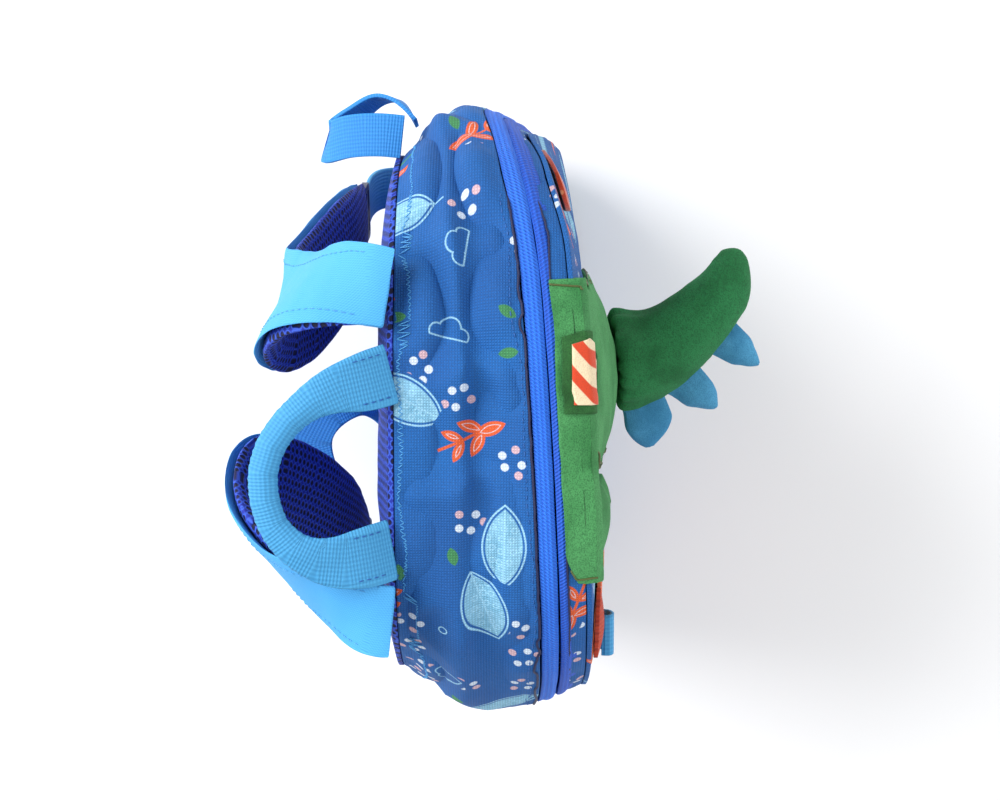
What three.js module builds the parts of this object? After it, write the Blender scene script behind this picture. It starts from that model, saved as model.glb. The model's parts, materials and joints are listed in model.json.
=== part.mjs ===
// Small child's backpack with a stuffed animal tail on its front, in millimetres, +Z up.
// It stands on its flat base. The front, with the tail, faces -Y, and the shoulder straps face +Y.
// The origin is on the floor, under the middle of the base.

import * as THREE from "three";

// Bag body
const BAG_HEIGHT = 303; // floor to the seam along the top
const SEAM_HALF_WIDTH = 110; // centre line to the back seam at the sides
const BAG_DEPTH = 84; // back seam to front seam where the bag is deepest
const BACK_SEAM_Y = 42; // how far the back seam lies behind the origin
const TOP_CORNER_RADIUS = 80;
const BASE_CORNER_RADIUS = 30;
const BASE_LIFT = 8; // height of the seams over the floor, under which the base hangs down flat
const SIDE_BULGE = 16; // how far the stuffed sides stand out past the seams
const FRONT_FLARE = 9; // how much wider the front seam runs than the back seam
const SLUMP = 11; // how far the -X shoulder has sunk in
const TOP_CROWN = 3; // gentle crown of the top between its seams
const TOP_SAG = 9; // depth of the sagging valley in the top, behind the zipper
const CANVAS = 2; // canvas and lining together
const CLEARANCE = 0.3; // gap between neighbouring pieces
const SEW_GAP = 0.7; // gap between a sewn-on piece and the curved panel under it

// Panels
const FRONT_BELLY = 40; // how far the middle of the front panel lies before the origin
const FRONT_FULLNESS = 1.7; // exponent of the front's curve: higher is fuller
const BACK_PAD = 10; // thickness of the padded back panel in its middle
const PANEL_RIM = 2; // thickness of both panels at their sewn rim
const ZIP_HALF_WIDTH = 7.6; // one zipper tape as it shows, from its seam to the teeth
const ZIP_TAPE = 1.6; // thickness of a zipper tape
const SLIDER_LENGTH = 12;
const SLIDER_WIDTH = 8;
const SLIDER_HEIGHT = 4;
const SLIDER_ALONG = 0.79; // share of the outline at which the slider rests
const GUSSET_END = 0.185; // share of the outline, from the middle of the base, where the zipper stops

// Stuffed animal on the front
const BODY_PUFF = 7; // thickness of the plush body in its middle
const BODY_EDGE = 1.5; // thickness of a plush piece at its sewn edge
const FELT = 1.8; // thickness of a felt or canvas patch
const TAIL_LENGTH = 97; // along the middle of the stuffed tail
const TAIL_HALF_WIDTH = 25; // at its root
const TAIL_FLATNESS = 0.86; // height of the tail's section to its width
const TAIL_ROOT_X = 23.5;
const TAIL_Z = 190; // height of the tail's root over the floor
const SPIKE_HEIGHT = 16; // how far a felt spike stands out of the tail
const SPIKE_THICKNESS = 8;
const LEG_PUFF = 4;
const PATCH_RIM = 4; // width of the felt border round the striped patch
const POCKET_PUFF = 2;

// Straps and webbing
const STRAP_WIDTH = 50;
const STRAP_COVER = 2.2; // canvas face of a shoulder strap
const STRAP_PAD = 6; // mesh padding under it
const STRAP_EDGE = 3; // rounding of a strap's long edges
const STRAP_ROOT_X = 60; // centre line to the middle of a strap's root
const STRAP_REACH = 62; // how far a strap arches out behind the back seam
const STRAP_DROP = 200; // how far a strap's padded end lies below the top seam
const WEBBING_WIDTH = 20;
const WEBBING = 1.6; // thickness of the webbing
const HANDLE_WIDTH = 23; // the wider webbing of the carrying handle
const HANDLE_REACH = 46; // how far the handle lies back behind the back seam
const HANDLE_HALF_SPAN = 33; // half of the distance between its two roots
const HANDLE_OFFSET_X = -3.5; // the roots' middle, from the centre line
const HANDLE_RISE = 14; // how far the lying handle's bow rises over its roots
const HANDLE_SEAT = 2.8; // height of the handle's roots over the top seam
const LOOP_WIDTH = 17; // webbing of the loops at the side and on the front
const TAB_X = 86; // centre line to the middle of the front loop
const TAB_STAND = 5; // how far the front loop stands out of the pocket
const BUCKLE_LENGTH = 17;
const BUCKLE_BAR = 3; // thickness of the buckle and of its bars
const BUCKLE_SIDE = 3.5; // material beside the webbing
const BUCKLE_GAP = 0.8; // from the buckle to the webbing
const WEBBING_LEAD = 60; // how fast the webbing runs out of the buckle before it bends
const WEBBING_SETTLE = 0.4; // share of the lower webbing that bends from the buckle to its own path

// Colours
const PRINT_BLUE = 0x1e5aa5;
const ZIP_BLUE = 0x0a50dc;
const MESH_BLUE = 0x122a8c;
const STRAP_BLUE = 0x41a0e1;
const WEBBING_BLUE = 0x3c96c8;
const PLUSH_GREEN = 0x2c7a3e;
const SPIKE_BLUE = 0x418cb9;
const BORDER_GREEN = 0x19501e;
const STRIPE_ORANGE = 0xcd4b1e;
const POCKET_ORANGE = 0xdc6428;
const BAND_RED = 0xa0280a;
const BUCKLE_NAVY = 0x101a3a;

// Stations round the bag, from the middle of the base up the +X side, over the top and down the other.
// along: share of the outline's length; zip and front: the zipper's middle and the front seam, as shares
// of BAG_DEPTH from the back seam; bulge, sag, base and slump: shares of SIDE_BULGE, TOP_SAG, BASE_LIFT
// and SLUMP.
const STATIONS = [
  { along: 0.0, zip: 0.78, front: 0.92, bulge: 0.0, sag: 0.0, base: 1.0, slump: 0.0 },
  { along: 0.086, zip: 0.76, front: 0.9, bulge: 0.0, sag: 0.0, base: 1.0, slump: 0.0 },
  { along: 0.13, zip: 0.67, front: 0.81, bulge: 0.55, sag: 0.0, base: 0.5, slump: 0.0 },
  { along: 0.18, zip: 0.61, front: 0.745, bulge: 0.9, sag: 0.0, base: 0.0, slump: 0.0 },
  { along: 0.24, zip: 0.56, front: 0.69, bulge: 1.0, sag: 0.0, base: 0.0, slump: 0.0 },
  { along: 0.3, zip: 0.5, front: 0.625, bulge: 1.0, sag: 0.0, base: 0.0, slump: 0.0 },
  { along: 0.345, zip: 0.47, front: 0.59, bulge: 0.95, sag: 0.0, base: 0.0, slump: 0.0 },
  { along: 0.38, zip: 0.545, front: 0.665, bulge: 0.65, sag: 0.1, base: 0.0, slump: 0.0 },
  { along: 0.42, zip: 0.63, front: 0.75, bulge: 0.25, sag: 0.45, base: 0.0, slump: 0.0 },
  { along: 0.465, zip: 0.67, front: 0.79, bulge: 0.05, sag: 0.9, base: 0.0, slump: 0.0 },
  { along: 0.5, zip: 0.695, front: 0.815, bulge: 0.0, sag: 1.0, base: 0.0, slump: 0.0 },
  { along: 0.535, zip: 0.715, front: 0.835, bulge: 0.05, sag: 0.65, base: 0.0, slump: 0.1 },
  { along: 0.575, zip: 0.735, front: 0.855, bulge: 0.25, sag: 0.8, base: 0.0, slump: 0.5 },
  { along: 0.62, zip: 0.745, front: 0.865, bulge: 0.65, sag: 0.3, base: 0.0, slump: 1.0 },
  { along: 0.66, zip: 0.73, front: 0.855, bulge: 0.95, sag: 0.0, base: 0.0, slump: 0.9 },
  { along: 0.74, zip: 0.73, front: 0.86, bulge: 1.0, sag: 0.0, base: 0.0, slump: 0.3 },
  { along: 0.82, zip: 0.75, front: 0.88, bulge: 0.9, sag: 0.0, base: 0.0, slump: 0.0 },
  { along: 0.87, zip: 0.77, front: 0.9, bulge: 0.55, sag: 0.0, base: 0.5, slump: 0.0 },
  { along: 0.914, zip: 0.78, front: 0.92, bulge: 0.0, sag: 0.0, base: 1.0, slump: 0.0 },
  { along: 1.0, zip: 0.78, front: 0.92, bulge: 0.0, sag: 0.0, base: 1.0, slump: 0.0 },
];

// Shoulder straps, from the root to the padded end. out: share of STRAP_ROOT_X from the centre line;
// back: share of STRAP_REACH behind the back seam; down: share of STRAP_DROP below the top seam;
// width: share of STRAP_WIDTH; thick: share of the full thickness; roll: degrees, outer edge lowered.
const STRAP_RIGHT = [
  { out: 1.02, back: 0.02, down: -0.016, width: 0.58, thick: 0.4, roll: 0 },
  { out: 1.04, back: 0.15, down: -0.01, width: 0.6, thick: 0.6, roll: 6 },
  { out: 1.03, back: 0.34, down: 0.024, width: 0.68, thick: 0.9, roll: 30 },
  { out: 0.97, back: 0.53, down: 0.08, width: 0.78, thick: 1, roll: 42 },
  { out: 0.88, back: 0.67, down: 0.17, width: 0.9, thick: 1, roll: 34 },
  { out: 0.81, back: 0.73, down: 0.27, width: 0.98, thick: 1, roll: 14 },
  { out: 0.8, back: 0.71, down: 0.38, width: 1, thick: 1, roll: 0 },
  { out: 0.9, back: 0.62, down: 0.51, width: 1, thick: 1, roll: -4 },
  { out: 1.08, back: 0.52, down: 0.66, width: 1, thick: 1, roll: -4 },
  { out: 1.24, back: 0.45, down: 0.83, width: 0.92, thick: 0.9, roll: 0 },
  { out: 1.38, back: 0.42, down: 1.0, width: 0.66, thick: 0.6, roll: 0 },
];
const STRAP_LEFT = [
  { out: 1.05, back: 0.02, down: -0.012, width: 0.54, thick: 0.4, roll: 0 },
  { out: 1.03, back: 0.15, down: -0.008, width: 0.58, thick: 0.6, roll: 6 },
  { out: 0.92, back: 0.38, down: 0.026, width: 0.68, thick: 0.9, roll: 32 },
  { out: 0.81, back: 0.63, down: 0.08, width: 0.78, thick: 1, roll: 46 },
  { out: 0.64, back: 0.85, down: 0.165, width: 0.88, thick: 1, roll: 40 },
  { out: 0.5, back: 0.95, down: 0.265, width: 0.96, thick: 1, roll: 18 },
  { out: 0.46, back: 0.93, down: 0.37, width: 1, thick: 1, roll: 2 },
  { out: 0.58, back: 0.8, down: 0.49, width: 1, thick: 1, roll: -6 },
  { out: 0.8, back: 0.62, down: 0.63, width: 1, thick: 1, roll: -6 },
  { out: 1.04, back: 0.47, down: 0.81, width: 0.92, thick: 0.9, roll: 0 },
  { out: 1.24, back: 0.43, down: 1.0, width: 0.66, thick: 0.6, roll: 0 },
];

// Lower webbing, from the buckle to the seam at the bag's lower corner. out: share of
// SEAM_HALF_WIDTH; back: share of STRAP_REACH behind the back panel; up: share of the buckle's height
// over the floor; face: degrees by which its face turns from the wearer's side over the top to the bag's.
const WEBBING_RIGHT = [
  { out: 0.81, back: 0.27, up: 0.98, face: 0 },
  { out: 0.84, back: 0.25, up: 0.8, face: 0 },
  { out: 0.87, back: 0.2, up: 0.6, face: 0 },
  { out: 0.88, back: 0.1, up: 0.455, face: 0 },
  { out: 0.88, back: 0.015, up: 0.33, face: 0 },
];
const WEBBING_LEFT = [
  { out: 0.7, back: 0.28, up: 0.98, face: 0 },
  { out: 0.66, back: 0.38, up: 0.815, face: 10 },
  { out: 0.5, back: 0.6, up: 0.8, face: 50 },
  { out: 0.3, back: 0.72, up: 0.905, face: 85 },
  { out: 0.13, back: 0.58, up: 0.94, face: 95 },
  { out: 0.05, back: 0.3, up: 0.87, face: 105 },
  { out: 0.13, back: 0.1, up: 0.69, face: 150 },
  { out: 0.35, back: 0.035, up: 0.525, face: 176 },
  { out: 0.6, back: 0.03, up: 0.435, face: 180 },
  { out: 0.84, back: 0.0, up: 0.4, face: 180 },
];

// Carrying handle, from its +X root to the other. across: share of HANDLE_HALF_SPAN from the roots'
// middle; back: share of HANDLE_REACH; rise: share of HANDLE_RISE; width: share of HANDLE_WIDTH.
const HANDLE = [
  { across: 1.0, back: 0.02, rise: -0.11, width: 0.98 },
  { across: 0.93, back: 0.22, rise: 0.35, width: 0.95 },
  { across: 0.84, back: 0.48, rise: 0.68, width: 0.72 },
  { across: 0.64, back: 0.72, rise: 0.85, width: 0.5 },
  { across: 0.34, back: 0.91, rise: 0.95, width: 0.46 },
  { across: 0.0, back: 1.0, rise: 1.0, width: 0.46 },
  { across: -0.36, back: 0.99, rise: 1.0, width: 0.46 },
  { across: -0.7, back: 0.9, rise: 0.95, width: 0.5 },
  { across: -0.95, back: 0.7, rise: 0.9, width: 0.62 },
  { across: -1.05, back: 0.45, rise: 0.75, width: 0.85 },
  { across: -1.02, back: 0.2, rise: 0.4, width: 1.0 },
  { across: -0.98, back: 0.02, rise: -0.11, width: 1.0 },
];

// Hanging loop at the top of the +X side. out: share of SEAM_HALF_WIDTH; back: share of STRAP_REACH
// behind the back seam; up: share of BAG_HEIGHT; roll: degrees, outer edge lowered.
const SIDE_LOOP = [
  { out: 1.062, back: -0.008, up: 0.79, roll: 4 },
  { out: 1.07, back: 0.15, up: 0.789, roll: 4 },
  { out: 1.065, back: 0.34, up: 0.777, roll: 4 },
  { out: 1.045, back: 0.475, up: 0.752, roll: 10 },
  { out: 1.06, back: 0.47, up: 0.722, roll: 34 },
  { out: 1.14, back: 0.33, up: 0.718, roll: 66 },
  { out: 1.205, back: 0.17, up: 0.722, roll: 82 },
  { out: 1.195, back: 0.03, up: 0.73, roll: 86 },
  { out: 1.115, back: -0.085, up: 0.735, roll: 76 },
];

// Stuffed tail, from its root to its tip. x, y and z: shares of TAIL_LENGTH sideways, forwards and up;
// width: share of TAIL_HALF_WIDTH.
const TAIL = [
  { x: 0.0, y: 0.0, z: 0.0, width: 0.97 },
  { x: 0.008, y: 0.108, z: 0.0, width: 0.86 },
  { x: 0.056, y: 0.2, z: 0.005, width: 0.77 },
  { x: 0.122, y: 0.287, z: 0.015, width: 0.69 },
  { x: 0.204, y: 0.368, z: 0.03, width: 0.63 },
  { x: 0.285, y: 0.44, z: 0.045, width: 0.56 },
  { x: 0.365, y: 0.48, z: 0.06, width: 0.46 },
  { x: 0.442, y: 0.495, z: 0.07, width: 0.33 },
  { x: 0.5, y: 0.5, z: 0.075, width: 0.16 },
];
// Spikes: their place in rows of the tail, their length along it as a share of TAIL_LENGTH, their height
// as a share of SPIKE_HEIGHT, and how far they lean towards the tip as a share of their height.
const SPIKES = [
  { row: 0.62, length: 0.15, height: 0.95, lean: 0.35 },
  { row: 2.0, length: 0.155, height: 0.9, lean: 0.35 },
  { row: 3.95, length: 0.165, height: 1.0, lean: 0.1 },
];

// Outlines sewn on the front panel: x as a share of SEAM_HALF_WIDTH, z as a share of BAG_HEIGHT.
const BODY_OUTLINE = [
  { x: -0.08, z: 0.975 },
  { x: 0.22, z: 0.985 },
  { x: 0.54, z: 0.965 },
  { x: 0.575, z: 0.84 },
  { x: 0.55, z: 0.7 },
  { x: 0.56, z: 0.55 },
  { x: 0.52, z: 0.38 },
  { x: 0.4, z: 0.25 },
  { x: 0.22, z: 0.19 },
  { x: 0.0, z: 0.25 },
  { x: -0.13, z: 0.38 },
  { x: -0.17, z: 0.55 },
  { x: -0.125, z: 0.7 },
  { x: -0.12, z: 0.84 },
];
const LEG_OUTLINE = [
  { x: -0.17, z: 0.94 },
  { x: -0.165, z: 0.85 },
  { x: -0.165, z: 0.765 },
  { x: -0.2, z: 0.8 },
  { x: -0.29, z: 0.805 },
  { x: -0.38, z: 0.815 },
  { x: -0.425, z: 0.86 },
  { x: -0.395, z: 0.905 },
  { x: -0.3, z: 0.925 },
];
const PATCH_OUTLINE = [
  { x: 0.17, z: 0.976 },
  { x: 0.37, z: 0.976 },
  { x: 0.385, z: 0.9 },
  { x: 0.27, z: 0.79 },
  { x: 0.14, z: 0.87 },
];
const SPOT_OUTLINE = [
  { x: 0.82, z: 0.82 },
  { x: 0.93, z: 0.84 },
  { x: 1.0, z: 0.8 },
  { x: 1.02, z: 0.74 },
  { x: 0.96, z: 0.69 },
  { x: 0.85, z: 0.7 },
  { x: 0.8, z: 0.76 },
];
const POCKET_OUTLINE = [
  { x: -0.44, z: 0.86 },
  { x: -0.5, z: 0.88 },
  { x: -0.6, z: 0.8 },
  { x: -0.8, z: 0.775 },
  { x: -0.93, z: 0.74 },
  { x: -0.98, z: 0.6 },
  { x: -0.97, z: 0.42 },
  { x: -0.88, z: 0.27 },
  { x: -0.66, z: 0.22 },
  { x: -0.45, z: 0.27 },
  { x: -0.36, z: 0.42 },
  { x: -0.37, z: 0.6 },
  { x: -0.42, z: 0.76 },
];
const BAND_OUTLINE = [
  { x: -0.53, z: 0.885 },
  { x: -0.65, z: 0.9 },
  { x: -0.8, z: 0.87 },
  { x: -0.8, z: 0.8 },
  { x: -0.64, z: 0.82 },
];

// Small loop of webbing on the front, from its upper root to its lower one. stand: share of TAB_STAND
// in front of the pocket; up: share of BAG_HEIGHT.
const FRONT_TAB = [
  { stand: 0.1, up: 0.775 },
  { stand: 0.7, up: 0.777 },
  { stand: 1.0, up: 0.762 },
  { stand: 0.7, up: 0.746 },
  { stand: 0.1, up: 0.742 },
];

// Number of steps round and across the pieces
const GUSSET_STEPS = 44;
const BASE_STEPS = 20;
const ACROSS_STEPS = 7;
const BASE_ROWS = 8;
const PANEL_RINGS = 5;
const RIBBON_STEPS = 22;
const HANDLE_STEPS = 26;
const TAIL_STEPS = 12;
const TAIL_SIDES = 12;
const ROOT_RINGS = [0.1, 0.4, 0.7, 1]; // rings of the tail's root on the plush body, as shares of its size
const SPIKE_LAYERS = 5;
const SPIKE_SIDES = 10;
const TAB_STEPS = 12;
const ROUND_CORNER_STEPS = 2;
const TAIL_RUN = 0.9; // the path's length as a share of TAIL_LENGTH

// Reads a column of a table at t from 0 to 1 over its rows, on a smooth curve through them.
function readColumn(rows, column, t) {
  const place = THREE.MathUtils.clamp(t, 0, 1) * (rows.length - 1);
  const i = Math.min(Math.floor(place), rows.length - 2);
  const at = (k) => rows[THREE.MathUtils.clamp(k, 0, rows.length - 1)][column];
  const curve = [at(i - 1), at(i), at(i + 1), at(i + 2)];
  return catmullRom(curve, place - i);
}

function catmullRom([a, b, c, d], f) {
  const slopeB = (c - a) / 2;
  const slopeC = (d - b) / 2;
  const f2 = f * f;
  const f3 = f2 * f;
  const cubic = 2 * b - 2 * c + slopeB + slopeC;
  const square = 3 * c - 3 * b - 2 * slopeB - slopeC;
  return cubic * f3 + square * f2 + slopeB * f + b;
}

// Reads a column of the stations at a share of the outline, easing from row to row.
function station(along, column) {
  const s = THREE.MathUtils.euclideanModulo(along, 1);
  let i = 0;
  while (i < STATIONS.length - 2 && STATIONS[i + 1].along <= s) i += 1;
  const low = STATIONS[i];
  const high = STATIONS[i + 1];
  const f = (s - low.along) / (high.along - low.along);
  return THREE.MathUtils.lerp(low[column], high[column], f * f * (3 - 2 * f));
}

// A closed surface under construction, from shared points and triangles.
class Surface {
  constructor() {
    this.points = [];
    this.faces = [];
  }

  add(v) {
    this.points.push(v.x, v.y, v.z);
    return this.points.length / 3 - 1;
  }

  quad(a, b, c, d) {
    this.faces.push(a, b, c, a, c, d);
  }

  triangle(a, b, c) {
    this.faces.push(a, b, c);
  }

  signedVolume() {
    const corner = (i) => new THREE.Vector3().fromArray(this.points, 3 * this.faces[i]);
    let total = 0;
    for (let i = 0; i < this.faces.length; i += 3) {
      total += corner(i).dot(corner(i + 1).cross(corner(i + 2))) / 6;
    }
    return total;
  }

  // The geometry, with its faces turned outwards.
  geometry() {
    if (this.signedVolume() < 0) this.faces.reverse();
    const result = new THREE.BufferGeometry();
    result.setAttribute("position", new THREE.Float32BufferAttribute(this.points, 3));
    result.setIndex(this.faces);
    result.computeVertexNormals();
    return result;
  }
}

// A loft through rings of equally many points, closed by a fan at each end. The diagonals of the
// second half of each ring mirror those of the first, so that two layers of a twisted ribbon nest.
function loft(rings) {
  const surface = new Surface();
  const rows = rings.map((ring) => ring.map((v) => surface.add(v)));
  const count = rows[0].length;
  for (let i = 0; i + 1 < rows.length; i += 1) {
    for (let k = 0; k < count; k += 1) {
      const next = (k + 1) % count;
      const corners = [rows[i][k], rows[i][next], rows[i + 1][next], rows[i + 1][k]];
      if (k >= count / 2) corners.push(corners.shift());
      surface.quad(...corners);
    }
  }
  cap(surface, rows[0]);
  cap(surface, [...rows[rows.length - 1]].reverse());
  return surface.geometry();
}

// Closes a ring with strips across it, so that the cap follows a curved ring.
function cap(surface, ring) {
  const last = ring.length - 1;
  for (let k = 0; 2 * k + 1 < last; k += 1) {
    surface.quad(ring[k], ring[last - k], ring[last - k - 1], ring[k + 1]);
  }
}

// The bag's outline, seen from behind, at a share of its length: a point and its outward normal.
function outline(along) {
  const width = SEAM_HALF_WIDTH;
  const baseRun = width - BASE_CORNER_RADIUS;
  const baseArc = (BASE_CORNER_RADIUS * Math.PI) / 2;
  const sideRun = BAG_HEIGHT - TOP_CORNER_RADIUS - BASE_LIFT - BASE_CORNER_RADIUS;
  const topArc = (TOP_CORNER_RADIUS * Math.PI) / 2;
  const topRun = width - TOP_CORNER_RADIUS;
  const half = baseRun + baseArc + sideRun + topArc + topRun;
  const share = THREE.MathUtils.euclideanModulo(along, 1);
  const mirror = share > 0.5 ? -1 : 1;
  let run = (share > 0.5 ? 1 - share : share) * 2 * half;
  let point;
  if (run < baseRun) {
    point = { x: run, z: BASE_LIFT, nx: 0, nz: -1 };
  } else if ((run -= baseRun) < baseArc) {
    const angle = run / BASE_CORNER_RADIUS;
    point = arcPoint(baseRun, BASE_LIFT + BASE_CORNER_RADIUS, BASE_CORNER_RADIUS, angle - Math.PI / 2);
  } else if ((run -= baseArc) < sideRun) {
    point = { x: width, z: BASE_LIFT + BASE_CORNER_RADIUS + run, nx: 1, nz: 0 };
  } else if ((run -= sideRun) < topArc) {
    point = arcPoint(topRun, BAG_HEIGHT - TOP_CORNER_RADIUS, TOP_CORNER_RADIUS, run / TOP_CORNER_RADIUS);
  } else {
    point = { x: topRun - (run - topArc), z: BAG_HEIGHT, nx: 0, nz: 1 };
  }
  return { x: mirror * point.x, z: point.z, nx: mirror * point.nx, nz: point.nz };
}

function arcPoint(x, z, radius, angle) {
  const nx = Math.cos(angle);
  const nz = Math.sin(angle);
  return { x: x + radius * nx, z: z + radius * nz, nx, nz };
}

// How far the outer skin stands out of the outline, at a share along it and a share of the depth.
function skinOffset(along, depth) {
  const across = THREE.MathUtils.clamp(depth / station(along, "front"), 0, 1);
  const wave = Math.sin(Math.PI * across);
  const side = station(along, "bulge") * (SIDE_BULGE * wave ** 1.2 + FRONT_FLARE * across);
  const sag = station(along, "sag");
  const valley = Math.exp(-(((across - 0.42) / 0.19) ** 2));
  const top = sag * (TOP_CROWN * wave - TOP_SAG * valley * wave);
  const ease = (t) => THREE.MathUtils.smoothstep(t, 0, 0.14);
  const base = station(along, "base") * BASE_LIFT * Math.min(ease(across), ease(1 - across));
  return side + top + base - station(along, "slump") * SLUMP;
}

// A point of the skin, sunk by an inset towards the inside of the bag.
function skinPoint(along, depth, inset = 0) {
  const edge = outline(along);
  const offset = skinOffset(along, depth) - inset;
  const y = BACK_SEAM_Y - depth * BAG_DEPTH;
  return new THREE.Vector3(edge.x + offset * edge.nx, y, edge.z + offset * edge.nz);
}

// A closed strip of skin between two shares of the outline and two depths, which may vary along it.
function skinBand(from, to, depthFrom, depthTo, thickness, steps, rows) {
  const surface = new Surface();
  const grid = (inset) => {
    const lines = [];
    for (let i = 0; i <= steps; i += 1) {
      const along = from + ((to - from) * i) / steps;
      const line = [];
      for (let j = 0; j <= rows; j += 1) {
        const depth = THREE.MathUtils.lerp(depthFrom(along), depthTo(along), j / rows);
        line.push(surface.add(skinPoint(along, depth, inset)));
      }
      lines.push(line);
    }
    return lines;
  };
  const outer = grid(0);
  const inner = grid(thickness);
  for (let i = 0; i < steps; i += 1) {
    for (let j = 0; j < rows; j += 1) {
      surface.quad(outer[i][j], outer[i + 1][j], outer[i + 1][j + 1], outer[i][j + 1]);
      surface.quad(inner[i][j], inner[i][j + 1], inner[i + 1][j + 1], inner[i + 1][j]);
    }
    surface.quad(outer[i][0], inner[i][0], inner[i + 1][0], outer[i + 1][0]);
    surface.quad(outer[i][rows], outer[i + 1][rows], inner[i + 1][rows], inner[i][rows]);
  }
  for (let j = 0; j < rows; j += 1) {
    surface.quad(outer[0][j], outer[0][j + 1], inner[0][j + 1], inner[0][j]);
    surface.quad(outer[steps][j], inner[steps][j], inner[steps][j + 1], outer[steps][j + 1]);
  }
  return surface.geometry();
}

// The shares of the outline at which the bands and the panels have their corners.
function rimStations() {
  const list = [];
  const gussetShare = 1 - 2 * GUSSET_END;
  for (let i = 0; i < BASE_STEPS; i += 1) list.push(-GUSSET_END + (2 * GUSSET_END * i) / BASE_STEPS);
  for (let i = 0; i < GUSSET_STEPS; i += 1) list.push(GUSSET_END + (gussetShare * i) / GUSSET_STEPS);
  return list;
}

// A panel that closes the bag, as rings from its middle to its rim: near and far give the y of its two
// faces at a ring share and a share of the outline.
function panel(edgeDepth, near, far) {
  const surface = new Surface();
  const middle = panelMiddle();
  const stations = rimStations();
  const count = stations.length;
  const face = (height) => {
    const rings = [];
    for (let r = 1; r <= PANEL_RINGS; r += 1) {
      const ring = [];
      for (const along of stations) {
        const share = 1 - (1 - r / PANEL_RINGS) ** 1.3;
        const rim = skinPoint(along, edgeDepth(along));
        const spot = middle.clone().lerp(rim, share);
        ring.push(surface.add(new THREE.Vector3(spot.x, height(share, along), spot.z)));
      }
      rings.push(ring);
    }
    const centre = surface.add(new THREE.Vector3(middle.x, height(0, 0), middle.z));
    return { rings, centre };
  };
  const front = face(near);
  const back = face(far);
  for (const [side, turned] of [[front, false], [back, true]]) {
    for (let k = 0; k < count; k += 1) {
      const next = (k + 1) % count;
      const inmost = side.rings[0];
      if (turned) surface.triangle(side.centre, inmost[next], inmost[k]);
      else surface.triangle(side.centre, inmost[k], inmost[next]);
      for (let r = 0; r + 1 < PANEL_RINGS; r += 1) {
        const a = side.rings[r];
        const b = side.rings[r + 1];
        if (turned) surface.quad(a[k], a[next], b[next], b[k]);
        else surface.quad(a[k], b[k], b[next], a[next]);
      }
    }
  }
  const rimFront = front.rings[PANEL_RINGS - 1];
  const rimBack = back.rings[PANEL_RINGS - 1];
  for (let k = 0; k < count; k += 1) {
    const next = (k + 1) % count;
    surface.quad(rimFront[k], rimBack[k], rimBack[next], rimFront[next]);
  }
  return surface.geometry();
}

function panelMiddle() {
  return new THREE.Vector3(0, 0, BAG_HEIGHT / 2);
}

// The y of the front panel's inner face at a ring share and a share of the outline.
function frontInner(share, along) {
  const rim = BACK_SEAM_Y - station(along, "front") * BAG_DEPTH - CLEARANCE;
  const belly = -FRONT_BELLY + CANVAS;
  return THREE.MathUtils.lerp(belly, rim, share ** FRONT_FULLNESS);
}

// Share of the outline whose rim point lies in the direction of x, z from the panels' middle.
function rimTowards(x, z) {
  const middle = panelMiddle();
  const wanted = Math.atan2(x - middle.x, -(z - middle.z));
  let low = 0;
  let high = 0.5;
  for (let i = 0; i < 24; i += 1) {
    const mid = (low + high) / 2;
    const rim = skinPoint(wanted < 0 ? 1 - mid : mid, station(wanted < 0 ? 1 - mid : mid, "front"));
    const angle = Math.abs(Math.atan2(rim.x - middle.x, -(rim.z - middle.z)));
    if (angle < Math.abs(wanted)) low = mid;
    else high = mid;
  }
  const share = (low + high) / 2;
  return wanted < 0 ? 1 - share : share;
}

// The y of the front panel's outer face at x, z.
function frontOuter(x, z) {
  const middle = panelMiddle();
  const along = rimTowards(x, z);
  const rim = skinPoint(along, station(along, "front"));
  const share = Math.hypot(x - middle.x, z - middle.z) / Math.hypot(rim.x - middle.x, rim.z - middle.z);
  return frontInner(Math.min(share, 1), along) - CANVAS;
}

// The y of the padded back panel's outer face at a ring share.
function padHeight(share) {
  return BACK_SEAM_Y + CLEARANCE + PANEL_RIM + (BACK_PAD - PANEL_RIM) * (1 - Math.min(share, 1) ** 6);
}

// The same at x, z.
function backOuter(x, z) {
  const middle = panelMiddle();
  const direction = new THREE.Vector2(x - middle.x, z - middle.z);
  const rim = skinPoint(rimTowards(x, z), 0);
  return padHeight(direction.length() / Math.hypot(rim.x - middle.x, rim.z - middle.z));
}

// A closed outline in x and z, smoothed through its rows, or with its corners kept.
function sewnOutline(rows, count, sharp = false) {
  const corners = rows.map((row) => new THREE.Vector3(row.x * SEAM_HALF_WIDTH, 0, row.z * BAG_HEIGHT));
  if (!sharp) {
    const curve = new THREE.CatmullRomCurve3(corners, true, "centripetal");
    return curve.getSpacedPoints(count).slice(0, count);
  }
  const points = [];
  corners.forEach((corner, i) => {
    const next = corners[(i + 1) % corners.length];
    const share = Math.round(count / corners.length);
    for (let k = 0; k < share; k += 1) points.push(corner.clone().lerp(next, k / share));
  });
  return points;
}

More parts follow.
